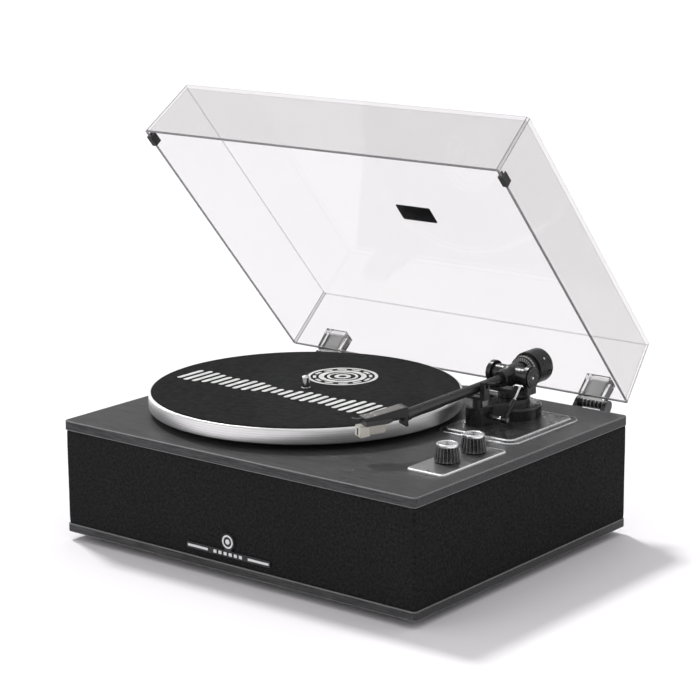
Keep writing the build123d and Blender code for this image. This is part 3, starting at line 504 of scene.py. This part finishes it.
def revolve(vertices, faces, profile, segments, placed=None, ripple=None):
    """Adds a closed (radius, height) profile turned about the z axis to the lists."""
    start, count = len(vertices), len(profile)
    for i in range(segments):
        angle = TURN * i / segments
        for j, (radius, height) in enumerate(profile):
            r = radius + (ripple(angle, j) if ripple else 0.0)
            point = Vector((r * math.cos(angle), r * math.sin(angle), height))
            vertices.append(placed @ point if placed else point)
    for i in range(segments):
        this, following = start + i * count, start + (i + 1) % segments * count
        for j in range(count):
            k = (j + 1) % count
            faces.append((this + j, following + j, following + k, this + k))


def lathe(name, profile, matrix, segments=128, ripple=None):
    """One turned piece whose own z axis is matrix's."""
    vertices, faces = [], []
    revolve(vertices, faces, profile, segments, ripple=ripple)
    return cleaned_piece(name, vertices, faces, matrix)


def solids(name, profile, places, segments=32):
    """One piece made of a turned profile repeated at several frames."""
    vertices, faces = [], []
    for placed in places:
        revolve(vertices, faces, profile, segments, placed)
    return cleaned_piece(name, vertices, faces)


def bevelled(profile, amount, steps=3):
    """Rounds every corner of a closed (radius, height) profile, except those on the axis."""
    longest_share = 0.45
    points = [Vector(p) for p in profile]
    made = []
    for i, corner in enumerate(points):
        before, after = points[i - 1], points[(i + 1) % len(points)]
        if corner.x < amount * 0.5:
            made.append(tuple(corner))
            continue
        reach = min(amount, (before - corner).length * longest_share, (after - corner).length * longest_share)
        start = corner + (before - corner).normalized() * reach
        end = corner + (after - corner).normalized() * reach
        for k in range(steps + 1):
            t = k / steps
            made.append(tuple(start * (1 - t) ** 2 + corner * 2 * t * (1 - t) + end * t ** 2))
    return made


def box_of(name):
    low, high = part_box(name)
    return Vector(low), Vector(high)


def in_mm(*points):
    return [(a * MM, b * MM) for a, b in points]


# ---- Places read from the model -------------------------------------------------------------------------
deck = box_of("top_board")[1].z
platter_low, platter_high = box_of("platter")
platter_centre = (platter_low + platter_high) / 2
platter_radius = (platter_high.x - platter_low.x) / 2
mat_low, mat_high = box_of("platter_mat")
mat_radius = (mat_high.x - mat_low.x) / 2

# ---- Camera ---------------------------------------------------------------------------------------------
CAMERA_PLACE = (1.29017, -1.636945, 0.67329)
CAMERA_YAW, CAMERA_PITCH, CAMERA_ROLL = 0.6725, 0.2343, -0.0063
camera_data = bpy.data.cameras.new("camera")
camera = bpy.data.objects.new("camera", camera_data)
scene.collection.objects.link(camera)
scene.camera = camera
camera_data.lens = 118.287
camera_data.sensor_width = 36
camera_data.clip_start, camera_data.clip_end = 0.05, 100
forward = Vector((-math.sin(CAMERA_YAW) * math.cos(CAMERA_PITCH),
                  math.cos(CAMERA_YAW) * math.cos(CAMERA_PITCH), -math.sin(CAMERA_PITCH)))
level_right = Vector((math.cos(CAMERA_YAW), math.sin(CAMERA_YAW), 0))
level_up = level_right.cross(forward)
right = level_right * math.cos(CAMERA_ROLL) + level_up * math.sin(CAMERA_ROLL)
up = level_up * math.cos(CAMERA_ROLL) - level_right * math.sin(CAMERA_ROLL)
camera.matrix_world = Matrix.Translation(CAMERA_PLACE) @ Matrix((right, up, -forward)).transposed().to_4x4()

# ---- Studio ---------------------------------------------------------------------------------------------
HORIZON_STRENGTH, ZENITH_STRENGTH = 0.48, 0.84
FLOOR_REACH = 30
scene.view_settings.view_transform = "Standard"
world = bpy.data.worlds.new("studio")
scene.world = world
world.use_nodes = True
sky = world.node_tree
background = sky.nodes["Background"]
sky_coords = sky.nodes.new("ShaderNodeTexCoord")
sky_split = sky.nodes.new("ShaderNodeSeparateXYZ")
sky_ramp = sky.nodes.new("ShaderNodeMapRange")
sky.links.new(sky_coords.outputs["Generated"], sky_split.inputs[0])
sky.links.new(sky_split.outputs["Z"], sky_ramp.inputs["Value"])
sky_ramp.inputs["To Min"].default_value = HORIZON_STRENGTH
sky_ramp.inputs["To Max"].default_value = ZENITH_STRENGTH
sky.links.new(sky_ramp.outputs["Result"], background.inputs["Strength"])
background.inputs["Color"].default_value = (1.0, 1.0, 1.0, 1)

floor_corners = [(x * FLOOR_REACH, y * FLOOR_REACH, 0) for x, y in ((-1, -1), (1, -1), (1, 1), (-1, 1))]
floor = mesh_piece("floor", floor_corners, [(0, 1, 2, 3)])
floor_shader = Shader("floor_white", (0.92, 0.9, 0.925), 0.9, Specular_IOR_Level=0.05)
floor_shader.colour(floor_shader.mix(floor_shader.noise(2, 2), (0.915, 0.892, 0.92), (0.925, 0.902, 0.93)))
paint(floor, floor_shader.material)

PLAYER_MIDDLE = (0, 0, 0.12)


def aimed(name, data, place, target=PLAYER_MIDDLE):
    lamp = bpy.data.objects.new(name, data)
    lamp.location = place
    lamp.rotation_mode = "QUATERNION"
    lamp.rotation_quaternion = (Vector(target) - Vector(place)).to_track_quat("-Z", "Y")
    scene.collection.objects.link(lamp)
    return lamp


def reflected_panel(name, place, width, height, radiance):
    """A soft box seen only in reflections: it lights no diffuse surface and casts no shadow."""
    data = bpy.data.lights.new(name, "AREA")
    data.shape = "RECTANGLE"
    data.size, data.size_y = width, height
    data.energy = radiance * math.pi * width * height
    lamp = aimed(name, data, place)
    lamp.visible_diffuse = False
    lamp.visible_transmission = False


sun_distance = 4
sun_way = Vector((0.086, -0.031, -0.1155)).normalized()
sun_data = bpy.data.lights.new("sun", "SUN")
sun_data.energy = 2.0
sun_data.angle = math.radians(9)
aimed("sun", sun_data, -sun_distance * sun_way, (0, 0, 0))
fill_data = bpy.data.lights.new("fill_front", "AREA")
fill_data.shape = "SQUARE"
fill_data.size = 1.6
fill_data.energy = 9
aimed("fill_front", fill_data, (-1.2, -2.6, 0.9), (0, 0, 0.08))
reflected_panel("panel_left", (-2.4, 0.35, 0.95), 1.3, 1.5, 1.9)
reflected_panel("panel_front_left", (-1.3, -2.3, 1.3), 0.7, 0.9, 1.4)
reflected_panel("panel_right", (2.3, 1.7, 1.1), 1.3, 1.4, 1.7)
reflected_panel("panel_top", (0.2, 0.6, 2.6), 1.2, 1.2, 0.8)

# ---- Platter and mat ------------------------------------------------------------------------------------
platter_frame = upright_at(platter_centre.x, platter_centre.y)
rim_low, rim_high = platter_low.z, platter_high.z
rim_inner = platter_radius - 6 * MM
disc_low = mat_low.z - 4 * MM
belt_ring, belt_ring_wall, belt_ring_low = 82 * MM, 4 * MM, deck + 7.5 * MM
hub_radius, hub_low, shaft_radius = 16 * MM, deck + 7 * MM, 4.5 * MM
platter_profile = [
    (shaft_radius, hub_low), (hub_radius, hub_low), (hub_radius, disc_low),
    (belt_ring - belt_ring_wall, disc_low),
    (belt_ring - belt_ring_wall, belt_ring_low), (belt_ring, belt_ring_low), (belt_ring, disc_low),
    (rim_inner, disc_low), (rim_inner, rim_low), (platter_radius - 1.0 * MM, rim_low),
    (platter_radius, rim_low + 1.0 * MM), (platter_radius, rim_high - 1.5 * MM),
    (platter_radius - 1.4 * MM, rim_high), (mat_radius + 0.3 * MM, rim_high),
    (mat_radius + 0.2 * MM, mat_low.z), (shaft_radius, mat_low.z)]
platter = lathe("platter_turned", bevelled(platter_profile, 0.3 * MM, 2), platter_frame, 360)
finish_piece(platter, "platter_assembly",
             turned("platter_aluminium", (0.74, 0.738, 0.735), 0.36, 0.45, 500), ["platter"])

felt_rings, felt_hole = 60, 4.9 * MM
edge_width, edge_drop = 1.2 * MM, 0.5 * MM
pile, pile_scale, fine_pile_scale = 0.10 * MM, 160, 900
profile = []
for i in range(felt_rings + 1):
    r = felt_hole + (mat_radius - felt_hole) * i / felt_rings
    drop = edge_drop * max(0.0, 1 - (mat_radius - r) / edge_width) ** 2
    profile.append((r, mat_high.z - drop))
profile += [(mat_radius, mat_high.z - 1.2 * MM), (mat_radius - 0.1 * MM, mat_low.z + 0.02 * MM),
            (felt_hole, mat_low.z + 0.02 * MM)]
felt_mat = lathe("felt_mat", profile, platter_frame, 300)
for vertex in felt_mat.data.vertices:
    if vertex.co.z > mat_high.z - 0.4 * MM:
        fine = 0.5 * noise.noise(vertex.co * fine_pile_scale)
        vertex.co.z += pile * (noise.noise(vertex.co * pile_scale) + fine)
finish_piece(felt_mat, "platter_assembly", materials["mat_felt"], ["platter_mat"], 60)


def prism(vertices, faces, outline, low, high):
    """Adds an upright prism over a convex outline to the lists."""
    start, count = len(vertices), len(outline)
    vertices += [(x, y, low) for x, y in outline] + [(x, y, high) for x, y in outline]
    faces.append(tuple(range(start + count, start + 2 * count)))
    faces.append(tuple(reversed(range(start, start + count))))
    for i in range(count):
        j = (i + 1) % count
        faces.append((start + i, start + j, start + count + j, start + count + i))


def bar_outline(x, low, high, width, steps=5):
    """A vertical bar with round ends."""
    points = []
    for middle, first in ((high - width / 2, 0.0), (low + width / 2, math.pi)):
        for k in range(steps + 1):
            angle = first + math.pi * k / steps
            points.append((x + width / 2 * math.cos(angle), middle + width / 2 * math.sin(angle)))
    return points


print_low, print_high = mat_high.z - 0.05 * MM, mat_high.z + 0.16 * MM
print_vertices, print_faces = [], []


def printed_ring(centre, inner, outer, start_angle=0.0, arc=TURN, steps=96):
    """Adds a flat ring, or part of one, to the mat's print."""
    for k in range(steps):
        a, b = (start_angle + arc * step / steps for step in (k, k + 1))
        outline = [(centre[0] + r * math.cos(t), centre[1] + r * math.sin(t))
                   for r, t in ((inner, a), (outer, a), (outer, b), (inner, b))]
        prism(print_vertices, print_faces, outline, print_low, print_high)


bar_count, bar_width, first_bar, bars_span, bars_y = 25, 5.2 * MM, -121 * MM, 239 * MM, -28 * MM
shortest_half, swell_half = 7 * MM, 13.5 * MM
for i in range(bar_count):
    across = i / (bar_count - 1)
    swell = 0.55 + 0.45 * math.sin(across * math.pi * 5.0 + 0.6) * math.cos(across * 7.3)
    half = shortest_half + swell_half * swell
    outline = bar_outline(first_bar + bars_span * across, bars_y - half, bars_y + half, bar_width)
    prism(print_vertices, print_faces, outline, print_low, print_high)
emblem = (2 * MM, 53 * MM)
for inner, outer in in_mm((4, 8), (12.5, 15), (18, 23), (31, 34)):
    printed_ring(emblem, inner, outer)
dash_count, dash_arc = 12, 0.33
for k in range(dash_count):
    printed_ring(emblem, 25.5 * MM, 28.5 * MM, TURN * k / dash_count, dash_arc, 8)
mat_print = cleaned_piece("mat_print", print_vertices, print_faces, platter_frame)
finish_piece(mat_print, "platter_assembly", printed_ink(), (), 0)

# ---- Grille cloth ---------------------------------------------------------------------------------------
cloth_low, cloth_high = box_of("front_grille_cloth")
cloth_x, cloth_front, cloth_back = cloth_high.x, cloth_low.y, box_of("left_grille_cloth")[1].y
corner, thickness, hem_gap = 3 * MM, 1.1 * MM, 0.1 * MM
side_steps, corner_steps, front_steps, rows = 110, 8, 130, 34
puff_depth, tuck_depth, tuck_rate = 0.14 * MM, 0.5 * MM, 18
path = []
for k in range(side_steps):
    path.append(Vector((-cloth_x, cloth_back + (cloth_front + corner - cloth_back) * k / side_steps)))
for k in range(corner_steps + 1):
    angle = math.pi + math.pi / 2 * k / corner_steps
    path.append(Vector((-cloth_x + corner + corner * math.cos(angle),
                        cloth_front + corner + corner * math.sin(angle))))
mirrored = len(path)
for k in range(1, front_steps):
    path.append(Vector((-cloth_x + corner + (2 * cloth_x - 2 * corner) * k / front_steps, cloth_front)))
path += [Vector((-p.x, p.y)) for p in reversed(path[:mirrored])]
cloth_vertices, cloth_faces = [], []
for i, point in enumerate(path):
    before, after = path[max(i - 1, 0)], path[min(i + 1, len(path) - 1)]
    tangent = (after - before).normalized()
    outward = Vector((tangent.y, -tangent.x))
    for inside in (0, 1):
        for j in range(rows + 1):
            z = cloth_low.z + hem_gap + (cloth_high.z - cloth_low.z - 2 * hem_gap) * j / rows
            depth = thickness
            if not inside:
                puff = puff_depth * (noise.noise(Vector((point.x * 9, point.y * 9, z * 30))) - 0.2)
                depth = tuck_depth * max(0.0, 1 - min(j, rows - j) / rows * tuck_rate) ** 2 - puff
            place = point - outward * depth
            cloth_vertices.append((place.x, place.y, z))
layer = rows + 1
column = 2 * layer
for i in range(len(path) - 1):
    a, b = i * column, (i + 1) * column
    for j in range(rows):
        cloth_faces.append((a + j, b + j, b + j + 1, a + j + 1))
        cloth_faces.append((a + layer + j, a + layer + j + 1, b + layer + j + 1, b + layer + j))
    for j in (0, rows):
        cloth_faces.append((a + j, a + layer + j, b + layer + j, b + j))
for i in (0, len(path) - 1):
    for j in range(rows):
        a = i * column + j
        cloth_faces.append((a, a + 1, a + layer + 1, a + layer))
grille = cleaned_piece("grille_cloth", cloth_vertices, cloth_faces)
finish_piece(grille, "plinth", materials["grille_cloth"],
             ["front_grille_cloth", "left_grille_cloth", "right_grille_cloth"], 50)

# ---- Knobs ----------------------------------------------------------------------------------------------
flutes, flute_depth, side_rows = 20, 1.6 * MM, 9
knob_gloss = fluted_gloss(flutes)


def groove(angle, j):
    """How far the knob's side, rows 3 to 10 of its section, lies inside its ridges."""
    return -flute_depth * (0.5 - 0.5 * math.cos(flutes * angle)) ** 0.6 if 3 <= j < 2 + side_rows else 0.0


def fluted_knob(name, cap_name, body):
    """A tapered, fluted knob and its spun metal cap, in place of their plain nodes."""
    taper, gap_under = 1.7 * MM, 0.5 * MM
    low, high = box_of(name)
    cap_low, cap_high = box_of(cap_name)
    middle = (low + high) / 2
    bottom = box_of("knob_plate")[1].z + gap_under
    base = (high.x - low.x) / 2
    height = cap_low.z - bottom
    side = []
    for j in range(side_rows):
        t = j / (side_rows - 1)
        side.append((base - taper * t ** 1.6, 0.7 * MM + (height - 1.1 * MM) * t))
    section = [(0, 0), (base - 0.6 * MM, 0)] + side + [(side[-1][0] - 0.5 * MM, height), (0, height)]
    knob = lathe(name + "_fluted", section, upright_at(middle.x, middle.y, bottom), flutes * 14, groove)
    finish_piece(knob, body, knob_gloss, [name])
    radius, thick = (cap_high.x - cap_low.x) / 2, cap_high.z - cap_low.z
    dish = [(0, 0), (radius, 0), (radius, thick - 0.8 * MM), (radius - 0.8 * MM, thick),
            (radius - 1.9 * MM, thick), (radius - 2.4 * MM, thick - 0.5 * MM), (0, thick - 0.35 * MM)]
    cap = lathe(cap_name + "_spun", bevelled(dish, 0.25 * MM), upright_at(middle.x, middle.y, cap_low.z), 160)
    finish_piece(cap, body, bright_turned, [cap_name])


fluted_knob("volume_knob", "volume_knob_cap", "volume_control")
fluted_knob("selector_knob", "selector_knob_cap", "selector_control")


# ---- Trims of the tonearm plate and the knob plate ------------------------------------------------------
def rounded_rectangle(half_width, half_length, radius, steps=10):
    points = []
    for quarter, (sx, sy) in enumerate(((1, 1), (-1, 1), (-1, -1), (1, -1))):
        for k in range(steps + 1):
            angle = math.pi / 2 * (quarter + k / steps)
            points.append((sx * (half_width - radius) + radius * math.cos(angle),
                           sy * (half_length - radius) + radius * math.sin(angle)))
    return points


def trim_ring(name, node, inset, radius, section, material):
    """A bead round a rounded rectangle inset from a node's outline; section is (outward, height) points."""
    low, high = box_of(node)
    half_width, half_length = (high.x - low.x) / 2 - inset, (high.y - low.y) / 2 - inset
    vertices, faces = [], []
    for outward, height in section:
        loop = rounded_rectangle(half_width + outward, half_length + outward, radius + outward)
        vertices += [(x, y, height) for x, y in loop]
    count, layers = len(loop), len(section)
    for j in range(layers):
        this, above = j * count, (j + 1) % layers * count
        for i in range(count):
            k = (i + 1) % count
            faces.append((this + i, this + k, above + k, above + i))
    middle = (low + high) / 2
    ring = cleaned_piece(name, vertices, faces, upright_at(middle.x, middle.y, low.z))
    finish_piece(ring, "plinth", material)


plate_rise = (box_of("tonearm_plate")[1].z - deck) / MM
trim_ring("plate_trim_inner", "tonearm_plate", 5.5 * MM, 8 * MM,
          in_mm((-1.5, plate_rise - 0.3), (-1.25, plate_rise + 0.06), (-0.95, plate_rise + 0.06),
                (0.14, plate_rise - 0.95), (0.14, 0.85), (-1.5, 0.85)), trim_bright)
trim_ring("plate_trim_outer", "tonearm_plate", 0, 12 * MM,
          in_mm((-0.85, 0.9), (-0.8, 1.36), (-0.5, 1.36), (0.12, 0.72), (0.12, 0.02), (-0.85, 0.02)),
          trim_bright)
knob_plate_rise = (box_of("knob_plate")[1].z - deck) / MM
trim_ring("knob_plate_bevel", "knob_plate", 0, 4 * MM,
          in_mm((-1.2, knob_plate_rise - 0.2), (-0.95, knob_plate_rise + 0.03),
                (-0.75, knob_plate_rise + 0.03), (0.04, knob_plate_rise - 0.75), (0.04, 0.02), (-1.2, 0.02)),
          bevel_bright)

# ---- Tonearm --------------------------------------------------------------------------------------------
arm_pivot = Vector(joints["counterweight_turn"]["pos_m"])
arm_axis = Vector(joints["counterweight_turn"]["axis"]).normalized()


def along_arm(name, radius):
    """The frame at the front end of a ring on the arm, with z to the rear, and the ring's length."""
    low, high = box_of(name)
    length = (high.y - low.y - 2 * radius * abs(arm_axis.z)) / arm_axis.y
    return axis_frame((low + high) / 2 - arm_axis * (length / 2), arm_axis), length


bore = 7.15 * MM
weight_radius, knurl_radius, knurl_pitch, knurls = 16 * MM, 15.55 * MM, 2.4 * MM, 6
place, length = along_arm("counterweight", weight_radius)
section = [(bore, 0)] + in_mm((12.6, 0), (13, 0.9), (14.2, 0.9), (14.6, 0), (15.3, 0))
section += [(weight_radius, 0.7 * MM), (weight_radius, 2.4 * MM)]
for k in range(knurls):
    z = 2.4 * MM + knurl_pitch * k
    section += [(knurl_radius, z + 0.25 * MM), (knurl_radius, z + 0.75 * MM), (weight_radius, z + 1.0 * MM),
                (weight_radius, z + 2.3 * MM)]
section += [(weight_radius, length - 1.0 * MM), (15.1 * MM, length), (11 * MM, length),
            (10.4 * MM, length - 0.8 * MM), (bore, length - 0.8 * MM)]
finish_piece(lathe("counterweight_turned", section, place, 160), "weight", satin_black,
             ["counterweight"])

mark_angle, mark_along = math.radians(-38), 9.6 * MM
mark_way = Vector((math.cos(mark_angle), math.sin(mark_angle), 0))
mark_place = place @ Matrix.Translation(mark_way * weight_radius + Vector((0, 0, mark_along)))
mark_frame = axis_frame(mark_place.translation, place.to_3x3() @ mark_way, arm_axis)
mark_section = bevelled(in_mm((0, -0.3), (1.1, -0.3), (1.1, 0.12), (0, 0.12)), 0.1 * MM)
finish_piece(lathe("counterweight_mark", mark_section, mark_frame, 32), "weight",
             printed_ink())

dial_radius, dial_teeth, tooth_depth = 13.5 * MM, 60, 0.22 * MM
place, length = along_arm("force_dial", dial_radius)
section = [(bore, 0), (dial_radius - 0.9 * MM, 0), (dial_radius, 0.9 * MM), (dial_radius, length - 0.5 * MM),
           (dial_radius - 0.5 * MM, length), (bore, length)]


def teeth(angle, j):
    """How far the dial's outer face, rows 9 to 15 of its section, lies inside its teeth."""
    return -tooth_depth * (0.5 + 0.5 * math.cos(dial_teeth * angle)) if 8 < j < 16 else 0.0


dial = lathe("force_dial_turned", bevelled(section, 0.2 * MM), place, 120, teeth)
finish_piece(dial, "tracking_dial", black_plastic, ["force_dial"])
for name, section in (("force_dial_scale", in_mm((9, -0.12), (12.3, -0.12), (12.3, 0.1), (9, 0.1))),
                      ("force_dial_band", in_mm((13.3, 1.2), (13.62, 1.35), (13.62, 3.4), (13.3, 3.5)))):
    finish_piece(lathe(name, section, place, 120), "tracking_dial", marked_ring())

cap_low, cap_high = box_of("pivot_caps")
cap_radius = (cap_high.z - cap_low.z) / 2
cap_thickness = 1.6 * MM
cap_middle = (cap_low + cap_high) / 2
cap_frames = [axis_frame((face - way * cap_thickness, cap_middle.y, cap_middle.z), (way, 0, 0), (0, 1, 0))
              for face, way in ((cap_high.x, 1), (cap_low.x, -1))]
cap_section = [(0, 0), (cap_radius, 0), (cap_radius, cap_thickness)]
cap_section += in_mm((8.2, 1.6), (8.0, 1.25), (7.4, 1.25), (7.2, 1.6), (1.9, 1.6), (1.7, 1.1), (0, 1.1))
finish_piece(solids("pivot_caps_turned", bevelled(cap_section, 0.2 * MM), cap_frames, 96), "gimbal",
             satin_black, ["pivot_caps"])
pin = bevelled(in_mm((0, 0.9), (1.35, 0.9), (1.35, 1.5), (0, 1.55)), 0.2 * MM)
finish_piece(solids("pivot_pins", pin, cap_frames, 40), "gimbal", chrome)

lever_pivot = Vector(joints["cue_lever_turn"]["pos_m"])
lever_run = Vector((6.5, 14.5, 30)) * MM
sleeve_share = 0.62
sleeve_length = lever_run.length * sleeve_share
section = bevelled([(0, 1 * MM), (1.5 * MM, 1 * MM), (1.9 * MM, 3 * MM), (1.9 * MM, sleeve_length - 1.5 * MM),
                    (1.5 * MM, sleeve_length + 0.3 * MM), (0, sleeve_length + 0.3 * MM)], 0.3 * MM)
finish_piece(lathe("cue_lever_sleeve", section, axis_frame(lever_pivot, lever_run), 48), "cueing_lever",
             gloss_black)
section = bevelled(in_mm((0, -3.2), (3.6, -3.2), (3.6, 2.8), (2.2, 2.8), (1.9, 2.4), (0, 2.4)), 0.4 * MM)
finish_piece(lathe("cue_lever_hub", section, axis_frame(lever_pivot, (1, 0, 0), (0, 1, 0)), 64),
             "cueing_lever", gloss_black)

# ---- Headshell ------------------------------------------------------------------------------------------
shell_turn = math.radians(27)
pivot_to_collar = 160 * MM
collar = arm_pivot - arm_axis * pivot_to_collar
shell_forward = (Vector((-math.sin(shell_turn), 0, 0)) - arm_axis * math.cos(shell_turn)).normalized()
shell_up = Vector((0, -arm_axis.z, arm_axis.y))
shell_right = shell_forward.cross(shell_up)
shell = Matrix.Translation(collar) @ Matrix((shell_forward, shell_right, shell_up)).transposed().to_4x4()


def shell_slab(name, outline, half_width, bevel, material):
    """A slab across the headshell: outline is (forward, up) millimetres in its side view."""
    count = len(outline)
    vertices = [(f * MM, side * half_width * MM, u * MM) for side in (-1, 1) for f, u in outline]
    faces = [tuple(range(count)), tuple(reversed(range(count, 2 * count)))]
    for i in range(count):
        j = (i + 1) % count
        faces.append((i, i + count, j + count, j))
    obj = cleaned_piece(name, vertices, faces, shell)
    shaped = bmesh.new()
    shaped.from_mesh(obj.data)
    bmesh.ops.bevel(shaped, geom=shaped.edges[:], offset=bevel * MM, segments=3, affect="EDGES",
                    clamp_overlap=True)
    shaped.to_mesh(obj.data)
    shaped.free()
    finish_piece(obj, "arm", material)


shell_slab("headshell_top", [(6.2, 7.3), (6.2, 8.5), (29, 4.8), (43.4, 3.5), (43.4, 2.6)], 6.3, 0.25,
           coated_metal("shell_grey", (0.1, 0.095, 0.09), 0.38))
shell_slab("stylus_guard", [(39.2, -4.4), (48.2, -4.4), (48.8, -13.5), (47.4, -14.1), (39.2, -13.4)], 5.7,
           0.4, moulded("ivory_plastic", (0.62, 0.59, 0.53), 0.4, 0.15))
shell_slab("stylus_guard_slot", [(48.2, -6.0), (48.72, -6.0), (49.0, -12.0), (48.4, -12.0)], 0.9, 0.05,
           black_plastic)
shell_slab("stylus_body", [(24.3, -4.1), (39.3, -4.1), (39.3, -11.8), (25.9, -11.8), (24.3, -10.5)], 6.6, 0.4,
           materials["beige_plastic"])
shell_top_height, shell_top_fall = 8.9, 0.125
screw_frames = []
for along in (33, 39):
    for across in (-3.6, 3.6):
        spot = Vector((along, across, shell_top_height - shell_top_fall * along)) * MM
        screw_frames.append(shell @ Matrix.Translation(spot))
section = bevelled(in_mm((0, -1.2), (1.5, -1.2), (1.5, -0.1), (0.6, -0.1), (0.5, -0.5), (0, -0.5)), 0.15 * MM)
finish_piece(solids("cartridge_screws", section, screw_frames, 24), "arm", chrome)

# ---- Hinges ---------------------------------------------------------------------------------------------
leaf_half = 12.7 * MM
leaf_x = box_of("hinge_leaves")[1].x - leaf_half
barrel_inner, barrel_outer, barrel_waist, knuckles = 2.2 * MM, 4.95 * MM, 4.3 * MM, 6
section = [(barrel_inner, -leaf_half)]
for k in range(knuckles):
    z = -leaf_half + k * 2 * leaf_half / knuckles
    section += [(barrel_outer, z + 0.1 * MM), (barrel_outer, z + 3.0 * MM), (barrel_waist, z + 3.4 * MM),
                (barrel_waist, z + 3.9 * MM)]
section.append((barrel_inner, leaf_half))
barrels = [axis_frame((side * leaf_x, hinge_axis.y, hinge_axis.z), (1, 0, 0), (0, 1, 0)) for side in (-1, 1)]
finish_piece(solids("hinge_barrels", section, barrels, 72), "cover", gloss_black)

wall_inner_face, rib_half = 11.6 * MM, 0.4 * MM
cover_up, cover_rear = Vector(COVER_UP), Vector(COVER_REAR)
cover_frame = (Matrix.Translation(hinge_axis - cover_rear * wall_inner_face - cover_up * RIM_BELOW_AXIS)
               @ Matrix(((1, 0, 0), cover_rear, cover_up)).transposed().to_4x4())
rib_vertices, rib_faces = [], []
for side in (-1, 1):
    for offset in (-10.7, -8.5, 8.5, 10.7):
        x = side * leaf_x + offset * MM
        outline = [(x - rib_half, 6.9 * MM), (x + rib_half, 6.9 * MM), (x + rib_half, 10.1 * MM),
                   (x - rib_half, 10.1 * MM)]
        prism(rib_vertices, rib_faces, outline, 2 * MM, 21.5 * MM)
socket_ribs = cleaned_piece("socket_ribs", rib_vertices, rib_faces, cover_frame)
finish_piece(socket_ribs, "cover", moulded("rib_grey", (0.05, 0.05, 0.052), 0.25), (), 0)

# ---- Rear details ---------------------------------------------------------------------------------------
jack_low, jack_high = box_of("rca_jacks")
terminal_low, terminal_high = box_of("terminal_plate")
jack_z = (jack_low.z + jack_high.z) / 2
jack_radius, screw_inset = 4.15 * MM, 4 * MM
ring_section = in_mm((4.2, 0), (5.2, 0), (5.2, 0.8), (4.9, 1.2), (4.2, 1.2))
for name, x, colour in (("left_channel_ring", jack_high.x - jack_radius, (0.75, 0.75, 0.73)),
                        ("right_channel_ring", jack_low.x + jack_radius, (0.5, 0.02, 0.02))):
    ring_piece = solids(name, bevelled(ring_section, 0.15 * MM),
                        [axis_frame((x, terminal_high.y, jack_z), (0, 1, 0))], 64)
    finish_piece(ring_piece, "plinth", moulded(name + "_plastic", colour, 0.4))
screw_section = bevelled(in_mm((0, -0.3), (2.0, -0.3), (2.0, 0.5), (1.3, 0.95), (0.75, 0.95), (0.65, 0.3),
                               (0, 0.3)), 0.15 * MM)
screw_places = [axis_frame((x, terminal_high.y, z), (0, 1, 0))
                for x in (terminal_low.x + screw_inset, terminal_high.x - screw_inset)
                for z in (terminal_low.z + screw_inset, terminal_high.z - screw_inset)]
finish_piece(solids("terminal_screws", screw_section, screw_places, 28), "plinth",
             materials["steel"])
